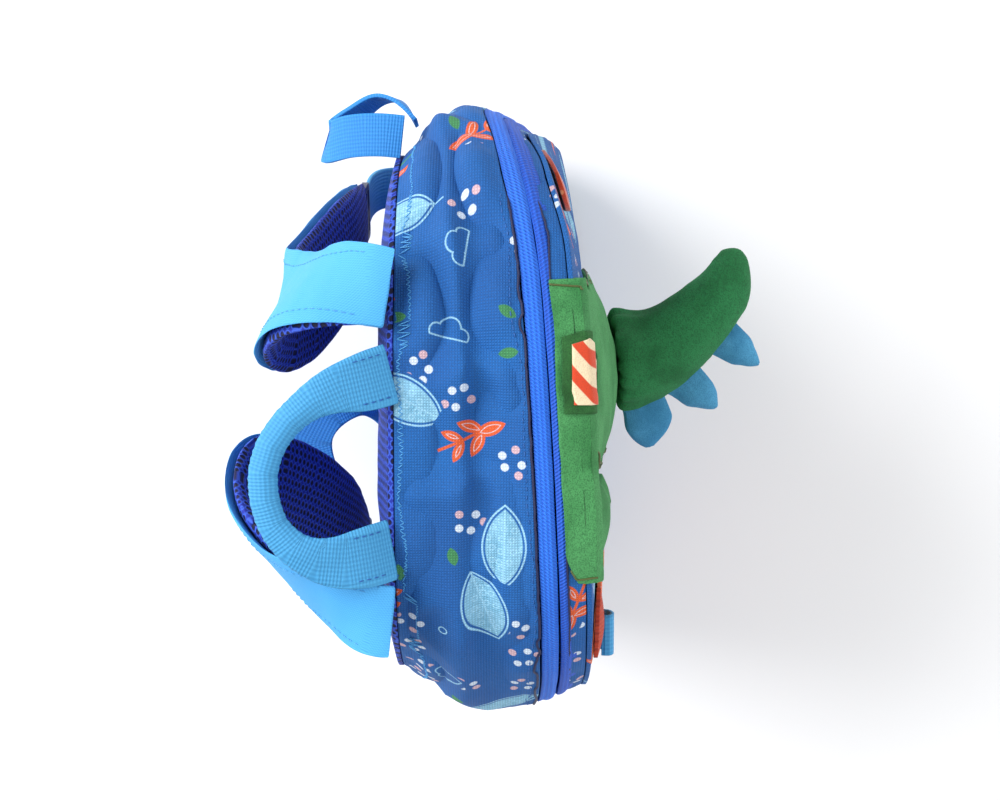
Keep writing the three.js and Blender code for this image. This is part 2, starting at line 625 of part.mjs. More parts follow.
// A padded or flat piece sewn on the front: it lies on the surface under it and swells towards its middle.
function applique(points, under, edge, puff, rings = 3) {
  const surface = new Surface();
  const middle = points.reduce((sum, p) => sum.add(p), new THREE.Vector3()).divideScalar(points.length);
  const layer = (height) => {
    const all = [];
    for (let r = 1; r <= rings; r += 1) {
      const share = r / rings;
      all.push(points.map((p) => {
        const spot = middle.clone().lerp(p, share);
        return surface.add(new THREE.Vector3(spot.x, under(spot.x, spot.z) - height(share), spot.z));
      }));
    }
    return all;
  };
  const back = layer(() => SEW_GAP);
  const front = layer((share) => SEW_GAP + edge + puff * (1 - share ** 2));
  const backCentre = surface.add(new THREE.Vector3(middle.x, under(middle.x, middle.z) - SEW_GAP, middle.z));
  const height = SEW_GAP + edge + puff;
  const frontCentre = surface.add(new THREE.Vector3(middle.x, under(middle.x, middle.z) - height, middle.z));
  const count = points.length;
  for (let k = 0; k < count; k += 1) {
    const next = (k + 1) % count;
    surface.triangle(frontCentre, front[0][k], front[0][next]);
    surface.triangle(backCentre, back[0][next], back[0][k]);
    for (let r = 0; r + 1 < rings; r += 1) {
      surface.quad(front[r][k], front[r + 1][k], front[r + 1][next], front[r][next]);
      surface.quad(back[r][k], back[r][next], back[r + 1][next], back[r + 1][k]);
    }
    surface.quad(front[rings - 1][k], back[rings - 1][k], back[rings - 1][next], front[rings - 1][next]);
  }
  return surface.geometry();
}

// The same outline, drawn in towards its middle by a rim's width.
function inset(points, rim) {
  const middle = points.reduce((sum, p) => sum.add(p), new THREE.Vector3()).divideScalar(points.length);
  return points.map((p) => {
    const arm = p.clone().sub(middle);
    return middle.clone().addScaledVector(arm, 1 - rim / arm.length());
  });
}

// The y of the plush body's outer face at x, z, for what is sewn on it.
function bodyOuter(points) {
  const middle = points.reduce((sum, p) => sum.add(p), new THREE.Vector3()).divideScalar(points.length);
  return (x, z) => {
    const direction = Math.atan2(z - middle.z, x - middle.x);
    let nearest = points[0];
    let best = Infinity;
    for (const p of points) {
      const turn = Math.atan2(p.z - middle.z, p.x - middle.x) - direction;
      const gap = Math.abs(Math.atan2(Math.sin(turn), Math.cos(turn)));
      if (gap < best) {
        best = gap;
        nearest = p;
      }
    }
    const reach = Math.hypot(nearest.x - middle.x, nearest.z - middle.z);
    const share = Math.min(Math.hypot(x - middle.x, z - middle.z) / reach, 1);
    return frontOuter(x, z) - SEW_GAP - BODY_EDGE - BODY_PUFF * (1 - share ** 2);
  };
}

// A ribbon's frames along a path: its middle, width direction and outward normal. The width lies
// sideways unless acrossAt turns it, and roll tilts it about the path.
function ribbonFrames(pathAt, rollAt, side, steps, acrossAt = () => new THREE.Vector3(side, 0, 0)) {
  const frames = [];
  for (let i = 0; i <= steps; i += 1) {
    const t = i / steps;
    const step = 0.5 / steps;
    const tangent = pathAt(Math.min(t + step, 1)).sub(pathAt(Math.max(t - step, 0))).normalize();
    const across = acrossAt(t, tangent);
    across.addScaledVector(tangent, -across.dot(tangent)).normalize();
    const down = new THREE.Vector3().crossVectors(tangent, across).multiplyScalar(side);
    const roll = THREE.MathUtils.degToRad(rollAt(t));
    const width = across.multiplyScalar(Math.cos(roll)).addScaledVector(down, Math.sin(roll));
    const normal = new THREE.Vector3().crossVectors(width, tangent).multiplyScalar(side);
    frames.push({ t, middle: pathAt(t), tangent, width, normal });
  }
  return frames;
}

// A ribbon layer between two heights over the frames' middle, with softly rounded long edges.
function ribbonLayer(frames, widthAt, lowAt, highAt, rounding = 0) {
  return loft(frames.map((frame) => {
    const half = widthAt(frame.t) / 2;
    const low = lowAt(frame.t);
    const high = highAt(frame.t);
    const spot = (w, n) => frame.middle.clone()
      .addScaledVector(frame.width, w)
      .addScaledVector(frame.normal, n);
    const mid = (low + high) / 2;
    if (!rounding) return [spot(-half, low), spot(half, low), spot(half, high), spot(-half, high)];
    const inset = half - rounding;
    return [
      spot(-inset, low),
      spot(0, low),
      spot(inset, low),
      spot(half, mid),
      spot(inset, high),
      spot(0, high),
      spot(-inset, high),
      spot(-half, mid),
    ];
  }));
}

function mesh(name, geometry, color, roughness, metalness = 0) {
  const result = new THREE.Mesh(geometry, new THREE.MeshStandardMaterial({ color, roughness, metalness }));
  result.name = name;
  return result;
}

// Body of the bag
function bagBody() {
  const group = new THREE.Group();
  const gap = CLEARANCE / 2 / BAG_DEPTH;
  const start = GUSSET_END;
  const end = 1 - GUSSET_END;
  const zipHalf = ZIP_HALF_WIDTH / BAG_DEPTH;
  const seam = () => 0;
  const front = (along) => station(along, "front");
  const zip = (along) => station(along, "zip");
  const strips = [
    ["gusset_back", seam, (a) => zip(a) - zipHalf - gap, CANVAS, ACROSS_STEPS, PRINT_BLUE],
    ["zip_tape_back", (a) => zip(a) - zipHalf + gap, (a) => zip(a) - gap, ZIP_TAPE, 1, ZIP_BLUE],
    ["zip_tape_front", (a) => zip(a) + gap, (a) => zip(a) + zipHalf - gap, ZIP_TAPE, 1, ZIP_BLUE],
    ["gusset_front", (a) => zip(a) + zipHalf + gap, front, CANVAS, 1, PRINT_BLUE],
  ];
  for (const [name, from, to, thickness, rows, color] of strips) {
    group.add(mesh(name, skinBand(start, end, from, to, thickness, GUSSET_STEPS, rows), color, 0.85));
  }
  const short = CLEARANCE / (2 * BAG_HEIGHT);
  const base = skinBand(short - start, start - short, seam, front, CANVAS, BASE_STEPS, BASE_ROWS);
  group.add(mesh("base_panel", base, PRINT_BLUE, 0.85));
  const outer = (share, along) => frontInner(share, along) - CANVAS;
  group.add(mesh("front_panel", panel(front, outer, frontInner), PRINT_BLUE, 0.85));
  group.add(mesh("back_panel", panel(seam, () => BACK_SEAM_Y + CLEARANCE, padHeight), MESH_BLUE, 0.95));
  return group;
}

// One shoulder strap: its canvas cover, its mesh padding, the buckle and the lower webbing
function shoulderStrap(name, side, rows, webbingRows) {
  const group = new THREE.Group();
  const at = (t) => new THREE.Vector3(
    side * STRAP_ROOT_X * readColumn(rows, "out", t),
    BACK_SEAM_Y + STRAP_REACH * readColumn(rows, "back", t),
    BAG_HEIGHT - STRAP_DROP * readColumn(rows, "down", t),
  );
  const frames = ribbonFrames(at, (t) => readColumn(rows, "roll", t), side, RIBBON_STEPS);
  const width = (t) => STRAP_WIDTH * readColumn(rows, "width", t);
  const thick = (t) => readColumn(rows, "thick", t);
  const half = (STRAP_COVER + STRAP_PAD + CLEARANCE) / 2;
  const outer = (t) => half * thick(t);
  const seam = (t) => (half - STRAP_COVER) * thick(t);
  const cover = ribbonLayer(frames, width, seam, outer, STRAP_EDGE);
  const pad = ribbonLayer(frames, width, (t) => -outer(t), (t) => seam(t) - CLEARANCE, STRAP_EDGE);
  group.add(mesh("strap_cover_" + name, cover, STRAP_BLUE, 0.8));
  group.add(mesh("strap_pad_" + name, pad, MESH_BLUE, 0.95));
  const end = frames[frames.length - 1];
  const buckle = mesh("buckle_" + name, buckleGeometry(), BUCKLE_NAVY, 0.5);
  const seat = CLEARANCE + BUCKLE_LENGTH / 2;
  buckle.position.copy(end.middle).addScaledVector(end.tangent, seat);
  buckle.quaternion.setFromRotationMatrix(new THREE.Matrix4().makeBasis(
    end.width.clone().multiplyScalar(side),
    end.tangent,
    end.normal,
  ));
  group.add(buckle);
  const from = buckle.position.clone().addScaledVector(end.tangent, BUCKLE_LENGTH / 2 + BUCKLE_GAP);
  const strip = (t) => {
    const x = side * SEAM_HALF_WIDTH * readColumn(webbingRows, "out", t);
    const z = from.z * readColumn(webbingRows, "up", t);
    const behind = WEBBING / 2 + SEW_GAP + STRAP_REACH * readColumn(webbingRows, "back", t);
    return new THREE.Vector3(x, backOuter(x, z) + behind, z);
  };
  const path = (t) => {
    const lead = from.clone().addScaledVector(end.tangent, WEBBING_LEAD * t);
    return lead.lerp(strip(t), THREE.MathUtils.smoothstep(t, 0, WEBBING_SETTLE));
  };
  const acrossAt = (t, tangent) => {
    const face = THREE.MathUtils.degToRad(readColumn(webbingRows, "face", t));
    const normal = new THREE.Vector3(0, Math.cos(face), Math.sin(face));
    return new THREE.Vector3().crossVectors(tangent, normal).multiplyScalar(side);
  };
  const ribbon = webbing(ribbonFrames(path, () => 0, side, RIBBON_STEPS, acrossAt), WEBBING_WIDTH);
  group.add(mesh("webbing_" + name, ribbon, WEBBING_BLUE, 0.8));
  return group;
}

// A flat buckle with three bars and two slots, lying in its own x and y
function buckleGeometry() {
  const half = WEBBING_WIDTH / 2 + BUCKLE_SIDE;
  const frame = roundedRectangle(new THREE.Shape(), 0, 0, 2 * half, BUCKLE_LENGTH, BUCKLE_SIDE);
  const slot = (BUCKLE_LENGTH - 3 * BUCKLE_BAR) / 2;
  for (const turn of [-1, 1]) {
    const y = (turn * (slot + BUCKLE_BAR)) / 2;
    frame.holes.push(roundedRectangle(new THREE.Path(), 0, y, WEBBING_WIDTH, slot, slot / 4));
  }
  const geometry = new THREE.ExtrudeGeometry(frame, {
    depth: BUCKLE_BAR,
    bevelEnabled: false,
    curveSegments: ROUND_CORNER_STEPS,
  });
  return geometry.translate(0, 0, -BUCKLE_BAR / 2);
}

function roundedRectangle(path, x, y, width, height, radius) {
  const right = x + width / 2;
  const top = y + height / 2;
  path.moveTo(x - width / 2 + radius, y - height / 2);
  path.absarc(right - radius, y - height / 2 + radius, radius, -Math.PI / 2, 0);
  path.absarc(right - radius, top - radius, radius, 0, Math.PI / 2);
  path.absarc(x - width / 2 + radius, top - radius, radius, Math.PI / 2, Math.PI);
  path.absarc(x - width / 2 + radius, y - height / 2 + radius, radius, Math.PI, 1.5 * Math.PI);
  return path;
}

// A ribbon of webbing through its frames
function webbing(frames, width) {
  return ribbonLayer(frames, () => width, () => -WEBBING / 2, () => WEBBING / 2);
}

// Carrying handle: its webbing is folded to half its width where the hand goes
function carryingHandle() {
  const path = (t) => new THREE.Vector3(
    HANDLE_OFFSET_X + HANDLE_HALF_SPAN * readColumn(HANDLE, "across", t),
    BACK_SEAM_Y + HANDLE_REACH * readColumn(HANDLE, "back", t),
    BAG_HEIGHT + HANDLE_SEAT + HANDLE_RISE * readColumn(HANDLE, "rise", t),
  );
  const frames = [];
  for (let i = 0; i <= HANDLE_STEPS; i += 1) {
    const t = i / HANDLE_STEPS;
    const tangent = path(Math.min(t + 0.01, 1)).sub(path(Math.max(t - 0.01, 0))).normalize();
    const normal = new THREE.Vector3(0, 0, 1);
    normal.addScaledVector(tangent, -normal.dot(tangent)).normalize();
    const width = new THREE.Vector3().crossVectors(normal, tangent);
    frames.push({ t, middle: path(t), tangent, width, normal });
  }
  const share = (t) => readColumn(HANDLE, "width", t);
  const half = (t) => (WEBBING / 2) * (1 + THREE.MathUtils.smoothstep(1 - share(t), 0.1, 0.4));
  const ribbon = ribbonLayer(frames, (t) => HANDLE_WIDTH * share(t), (t) => -half(t), half, WEBBING);
  return mesh("handle", ribbon, WEBBING_BLUE, 0.8);
}

function sideLoop() {
  const path = (t) => new THREE.Vector3(
    SEAM_HALF_WIDTH * readColumn(SIDE_LOOP, "out", t),
    BACK_SEAM_Y + STRAP_REACH * readColumn(SIDE_LOOP, "back", t),
    BAG_HEIGHT * readColumn(SIDE_LOOP, "up", t),
  );
  const frames = ribbonFrames(path, (t) => readColumn(SIDE_LOOP, "roll", t), 1, RIBBON_STEPS);
  return mesh("side_loop", webbing(frames, LOOP_WIDTH), WEBBING_BLUE, 0.8);
}

// Stuffed tail, with its sections square to its path
function tailFrames(root) {
  const path = (t) => new THREE.Vector3(
    root.x + TAIL_LENGTH * readColumn(TAIL, "x", t),
    root.y - TAIL_LENGTH * readColumn(TAIL, "y", t),
    root.z + TAIL_LENGTH * readColumn(TAIL, "z", t),
  );
  return (t) => {
    const tangent = path(Math.min(t + 0.02, 1)).sub(path(Math.max(t - 0.02, 0))).normalize();
    const up = new THREE.Vector3(0, 0, 1);
    up.addScaledVector(tangent, -up.dot(tangent)).normalize();
    const outward = new THREE.Vector3().crossVectors(tangent, up);
    return { middle: path(t), tangent, up, outward, half: TAIL_HALF_WIDTH * readColumn(TAIL, "width", t) };
  };
}

function tailAndSpikes(onBody) {
  const group = new THREE.Group();
  const seat = (x, z) => onBody(x, z) - SEW_GAP;
  const frameAt = tailFrames(new THREE.Vector3(TAIL_ROOT_X, seat(TAIL_ROOT_X, TAIL_Z), TAIL_Z));
  const section = (t, share) => {
    const frame = frameAt(t);
    return Array.from({ length: TAIL_SIDES }, (_, k) => {
      const angle = (2 * Math.PI * k) / TAIL_SIDES;
      return frame.middle.clone()
        .addScaledVector(frame.outward, share * frame.half * Math.cos(angle))
        .addScaledVector(frame.up, share * frame.half * TAIL_FLATNESS * Math.sin(angle));
    });
  };
  const rings = ROOT_RINGS.map((share) => section(0, share).map((p) => p.setY(seat(p.x, p.z))));
  for (let i = 1; i <= TAIL_STEPS; i += 1) rings.push(section(i / TAIL_STEPS, 1));
  group.add(mesh("tail", loft(rings), PLUSH_GREEN, 1));
  SPIKES.forEach((spike, index) => {
    group.add(mesh("tail_spike_" + (index + 1), spikeGeometry(frameAt, spike), SPIKE_BLUE, 0.95));
  });
  return group;
}

// A soft rounded triangle of felt that stands on the outer side of the tail
function spikeGeometry(frameAt, spike) {
  const rows = TAIL.length - 1;
  const spread = (spike.length * rows) / 2 / TAIL_RUN;
  const rings = [];
  for (let i = 0; i <= SPIKE_LAYERS; i += 1) {
    const rise = i / SPIKE_LAYERS;
    const narrow = Math.sqrt(1 - 0.97 * rise ** 2) * (1 - 0.35 * rise);
    const thick = (SPIKE_THICKNESS / 2) * Math.sqrt(1 - 0.96 * rise ** 2);
    const stand = SPIKE_HEIGHT * spike.height * rise;
    const ring = [];
    for (let k = 0; k < SPIKE_SIDES; k += 1) {
      const angle = (2 * Math.PI * k) / SPIKE_SIDES;
      const frame = frameAt((spike.row + spread * narrow * Math.cos(angle)) / rows);
      ring.push(frame.middle.clone()
        .addScaledVector(frame.outward, frame.half + SEW_GAP + stand)
        .addScaledVector(frame.tangent, stand * spike.lean)
        .addScaledVector(frame.up, thick * Math.sin(angle)));
    }
    rings.push(ring);
  }
  return loft(rings);
}

// Small loop of webbing that stands out of the pocket
function frontTab() {
  const path = (t) => {
    const z = BAG_HEIGHT * readColumn(FRONT_TAB, "up", t);
    const pocketFace = frontOuter(-TAB_X, BAG_HEIGHT * FRONT_TAB[0].up) - 2 * SEW_GAP - FELT - WEBBING / 2;
    return new THREE.Vector3(-TAB_X, pocketFace - TAB_STAND * readColumn(FRONT_TAB, "stand", t), z);
  };
  const ribbon = webbing(ribbonFrames(path, () => 0, 1, TAB_STEPS), LOOP_WIDTH);
  return mesh("front_tab", ribbon, WEBBING_BLUE, 0.8);
}

// Plain slider of the closed zipper, low on the -X side
function zipSlider() {
  const shape = roundedRectangle(new THREE.Shape(), 0, 0, SLIDER_LENGTH, SLIDER_WIDTH, SLIDER_WIDTH / 4);
  const geometry = new THREE.ExtrudeGeometry(shape, {
    depth: SLIDER_HEIGHT,
    bevelEnabled: false,
    curveSegments: ROUND_CORNER_STEPS,
  });
  const depth = station(SLIDER_ALONG, "zip");
  const seat = skinPoint(SLIDER_ALONG, depth);
  const step = 0.01;
  const run = skinPoint(SLIDER_ALONG + step, station(SLIDER_ALONG + step, "zip")).sub(seat).normalize();
  const across = skinPoint(SLIDER_ALONG, depth + step).sub(seat);
  const normal = new THREE.Vector3().crossVectors(run, across).normalize();
  const slider = mesh("zip_slider", geometry, BUCKLE_NAVY, 0.4);
  slider.position.copy(seat).addScaledVector(normal, SEW_GAP);
  across.crossVectors(normal, run);
  slider.quaternion.setFromRotationMatrix(new THREE.Matrix4().makeBasis(run, across, normal));
  return slider;
}

// Everything that is sewn on the front panel
function frontPieces() {
  const group = new THREE.Group();
  const bodyPoints = sewnOutline(BODY_OUTLINE, 36);
  const onBody = bodyOuter(bodyPoints);
  const onBorder = (x, z) => onBody(x, z) - SEW_GAP - FELT;
  const border = sewnOutline(PATCH_OUTLINE, 20, true);
  const body = applique(bodyPoints, frontOuter, BODY_EDGE, BODY_PUFF, 4);
  group.add(mesh("plush_body", body, PLUSH_GREEN, 1));
  const pieces = [
    ["plush_leg", sewnOutline(LEG_OUTLINE, 18), frontOuter, BODY_EDGE, LEG_PUFF, PLUSH_GREEN],
    ["patch_border", border, onBody, FELT, 0, BORDER_GREEN],
    ["patch_stripes", inset(border, PATCH_RIM), onBorder, FELT, 0, STRIPE_ORANGE],
    ["spotted_felt", sewnOutline(SPOT_OUTLINE, 16), frontOuter, FELT, FELT, STRIPE_ORANGE],
    ["pocket", sewnOutline(POCKET_OUTLINE, 30), frontOuter, FELT, POCKET_PUFF, POCKET_ORANGE],
    ["pocket_band", sewnOutline(BAND_OUTLINE, 20, true), frontOuter, FELT, FELT, BAND_RED],
  ];
  for (const [name, points, under, edge, puff, color] of pieces) {
    group.add(mesh(name, applique(points, under, edge, puff), color, 0.95));
  }
  group.add(frontTab());
  group.add(tailAndSpikes(onBody));
  return group;
}

export default (() => {
  const root = new THREE.Group();
  root.name = "backpack";
  root.add(bagBody());
  root.add(zipSlider());
  root.add(shoulderStrap("right", 1, STRAP_RIGHT, WEBBING_RIGHT));
  root.add(shoulderStrap("left", -1, STRAP_LEFT, WEBBING_LEFT));
  root.add(carryingHandle());
  root.add(sideLoop());
  root.add(frontPieces());
  return root;
})();
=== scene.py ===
"""Dresses a small child's backpack with a stuffed tail on its front.

The frame gives the shape and the place of every piece. This file gives each of them its cloth,
padding, folds, seams and stitches. Lengths are in metres, with the front facing -Y and +Z up.
"""

import json
import logging
import math
from dataclasses import dataclass, field
from enum import Enum
from typing import Callable, Iterable, Sequence

import bmesh
import bpy
from mathutils import Matrix, Vector, noise
from mathutils.bvhtree import BVHTree

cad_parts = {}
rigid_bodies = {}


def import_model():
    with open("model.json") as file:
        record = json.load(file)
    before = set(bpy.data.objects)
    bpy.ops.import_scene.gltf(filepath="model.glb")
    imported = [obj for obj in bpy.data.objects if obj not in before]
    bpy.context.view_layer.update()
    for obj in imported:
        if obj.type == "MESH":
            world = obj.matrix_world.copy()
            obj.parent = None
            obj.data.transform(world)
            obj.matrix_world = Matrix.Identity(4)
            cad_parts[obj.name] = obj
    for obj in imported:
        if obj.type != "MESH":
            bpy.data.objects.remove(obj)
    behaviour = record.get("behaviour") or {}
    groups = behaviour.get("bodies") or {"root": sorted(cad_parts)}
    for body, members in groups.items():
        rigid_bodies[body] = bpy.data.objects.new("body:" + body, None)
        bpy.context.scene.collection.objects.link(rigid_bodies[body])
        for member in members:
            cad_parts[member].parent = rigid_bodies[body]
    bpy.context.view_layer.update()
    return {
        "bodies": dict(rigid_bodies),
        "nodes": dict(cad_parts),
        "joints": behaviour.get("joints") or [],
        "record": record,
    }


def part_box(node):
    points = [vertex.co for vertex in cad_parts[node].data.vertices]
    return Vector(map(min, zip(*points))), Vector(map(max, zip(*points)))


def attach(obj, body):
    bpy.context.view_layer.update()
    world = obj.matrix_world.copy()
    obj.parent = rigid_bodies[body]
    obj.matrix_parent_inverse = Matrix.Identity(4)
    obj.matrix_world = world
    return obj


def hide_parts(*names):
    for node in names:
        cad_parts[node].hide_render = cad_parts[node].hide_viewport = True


LOG = logging.getLogger("backpack")
MM = 0.001
CLOTH = "cloth"
BODY = "root"
Colour = tuple[float, float, float]
Station = tuple[float, float, float, float, float, float]
Socket = bpy.types.NodeSocket
Material = bpy.types.Material
Shape = bmesh.types.BMesh
Chart = Callable[[Vector, Vector], tuple[float, float]]


def srgb(red: int, green: int, blue: int) -> Colour:
    """Turns a colour of the dye chart into the linear colour of the shader.

    Args:
        red: Red from 0 to 255.
        green: Green from 0 to 255.
        blue: Blue from 0 to 255.

    Returns:
        The same colour, linear.
    """
    def channel(value: int) -> float:
        """One channel, linear."""
        part = value / 255
        return part / 12.92 if part <= 0.04045 else ((part + 0.055) / 1.055) ** 2.4

    return channel(red), channel(green), channel(blue)


class Recipe:
    """A procedural material under construction, with its shader and its nodes."""

    def __init__(self, name: str, colour: Colour, roughness: float) -> None:
        """Starts the material.

        Args:
            name: The material's name.
            colour: Its plain colour, linear.
            roughness: Its plain roughness.
        """
        self.material = bpy.data.materials.new(name)
        self.material.use_nodes = True
        self.tree = self.material.node_tree
        self.tree.nodes.clear()
        self.shader = self.tree.nodes.new("ShaderNodeBsdfPrincipled")
        out = self.tree.nodes.new("ShaderNodeOutputMaterial")
        self.tree.links.new(self.shader.outputs[0], out.inputs[0])
        self.shader.inputs["Base Color"].default_value = (*colour, 1)
        self.shader.inputs["Roughness"].default_value = roughness
        self.material.diffuse_color = (*colour, 1)
        self.height: Socket | None = None

    def node(self, kind: str, inputs: dict[int | str, object], **settings: object) -> bpy.types.Node:
        """Adds a node.

        Args:
            kind: The node's type name after ShaderNode.
            inputs: What each input gets, a socket or a value.
            settings: Attributes of the node itself.

        Returns:
            The new node.
        """
        result = self.tree.nodes.new("ShaderNode" + kind)
        for key, value in settings.items():
            setattr(result, key, value)
        for key, value in inputs.items():
            self.put(result.inputs[key], value)
        return result

    def put(self, socket: Socket, value: object) -> None:
        """Links a socket to an input, or sets the input's value.

        Args:
            socket: The input.
            value: A socket or a plain value.
        """
        if isinstance(value, bpy.types.NodeSocket):
            self.tree.links.new(value, socket)
        elif isinstance(value, tuple) and len(value) == 3 and socket.type == "RGBA":
            socket.default_value = (*value, 1)
        else:
            socket.default_value = value

    def math(self, operation: str, first: object, second: object = 0.0, third: object = 0.0) -> Socket:
        """The result of a scalar sum.

        Args:
            operation: Blender's name of the operation.
            first: Its first operand.
            second: Its second operand.
            third: Its third operand.

        Returns:
            The result's socket.
        """
        return self.node("Math", {0: first, 1: second, 2: third}, operation=operation).outputs[0]

    def vector(self, operation: str, first: object, second: object = (0.0, 0.0, 0.0)) -> bpy.types.Node:
        """A vector operation's node.

        Args:
            operation: Blender's name of the operation.
            first: Its first operand.
            second: Its second operand.

        Returns:
            The node, whose outputs are the vector and the value.
        """
        return self.node("VectorMath", {0: first, 1: second}, operation=operation)

    def mix(self, share: object, first: object, second: object) -> Socket:
        """Blends two colours.

        Args:
            share: How much of the second colour shows.
            first: The first colour.
            second: The second colour.

        Returns:
            The blended colour's socket.
        """
        node = self.node("Mix", {}, data_type="RGBA")
        self.put(node.inputs[0], share)
        self.put(node.inputs[6], first)
        self.put(node.inputs[7], second)
        return node.outputs[2]

    def under(self, value: object, edge: float, soft: float = 0.1) -> Socket:
        """A soft-edged mask that is 1 where a value is under an edge.

        Args:
            value: The value.
            edge: The edge.
            soft: Half of the blend's width.

        Returns:
            The mask's socket.
        """
        inputs = {0: value, 1: edge - soft, 2: edge + soft, 3: 1.0, 4: 0.0}
        return self.node("MapRange", inputs, interpolation_type="SMOOTHSTEP").outputs[0]

    def near(self, value: object, middle: float, reach: float, soft: float) -> Socket:
        """A soft-edged mask that is 1 where a value lies near another.

        Args:
            value: The value.
            middle: What it is compared with.
            reach: How far it may lie from that.
            soft: Half of the blend's width.

        Returns:
            The mask's socket.
        """
        return self.under(self.math("ABSOLUTE", self.math("SUBTRACT", value, middle)), reach, soft)

    def both(self, first: object, second: object) -> Socket:
        """The overlap of two masks."""
        return self.math("MULTIPLY", first, second)

    def reverse(self, mask: object) -> Socket:
        """The mask that is 0 where another is 1."""
        return self.math("SUBTRACT", 1.0, mask)

    def cells(self, point: object, scale: float, spread: float,
              dimensions: str = "2D") -> bpy.types.Node:
        """Irregular cells, each with its own middle and colour.

        Args:
            point: Where they are read, in millimetres.
            scale: How many of them lie on a millimetre.
            spread: How irregularly they lie, from 0 to 1.
            dimensions: Blender's name of the pattern's dimensions.

        Returns:
            The cells' node.
        """
        inputs = {"Vector": point, "Scale": scale, "Randomness": spread}
        return self.node("TexVoronoi", inputs, voronoi_dimensions=dimensions)

    def place(self, scale: float = 1000.0) -> Socket:
        """The object's own coordinates, in millimetres unless scaled otherwise."""
        node = self.node("TexCoord", {})
        return self.vector("MULTIPLY", node.outputs["Object"], (scale, scale, scale)).outputs[0]

    def cloth(self, scale: float = 1000.0) -> Socket:
        """The cloth's own coordinates, along its UV map, in millimetres unless scaled otherwise."""
        node = self.node("UVMap", {}, uv_map=CLOTH)
        return self.vector("MULTIPLY", node.outputs[0], (scale, scale, scale)).outputs[0]

    def axes(self, point: object) -> tuple[Socket, Socket, Socket]:
        """The three numbers of a point."""
        node = self.node("SeparateXYZ", {0: point})
        return node.outputs[0], node.outputs[1], node.outputs[2]

    def grain(self, point: object, size: float, detail: float = 2.0) -> Socket:
        """Cloudy noise from 0 to 1.

        Args:
            point: Where it is read, in millimetres.
            size: The size of its spots, in millimetres.
            detail: How many finer layers it has.

        Returns:
            The noise's socket.
        """
        return self.node("TexNoise", {"Vector": point, "Scale": 1 / size, "Detail": detail}).outputs[0]

    def wave(self, value: object, pitch: float) -> Socket:
        """A smooth rib from 0 to 1 over a length in millimetres."""
        turn = self.math("SINE", self.math("MULTIPLY", value, 2 * math.pi / pitch))
        return self.math("MULTIPLY_ADD", turn, 0.5, 0.5)

    def colour(self, value: object) -> None:
        """Gives the shader its colour."""
        self.put(self.shader.inputs["Base Color"], value)

    def emboss(self, height: object, amount: float) -> None:
        """Adds relief to the surface.

        Args:
            height: The relief's height from 0 to 1.
            amount: The height of 1, in millimetres.
        """
        scaled = self.math("MULTIPLY", height, amount * MM)
        self.height = scaled if self.height is None else self.math("ADD", self.height, scaled)

    def finish(self) -> Material:
        """Links the relief.

        Returns:
            The finished material.
        """
        if self.height is not None:
            bump = self.node("Bump", {"Height": self.height, "Strength": 1.0, "Distance": 1.0})
            self.put(self.shader.inputs["Normal"], bump.outputs[0])
        return self.material


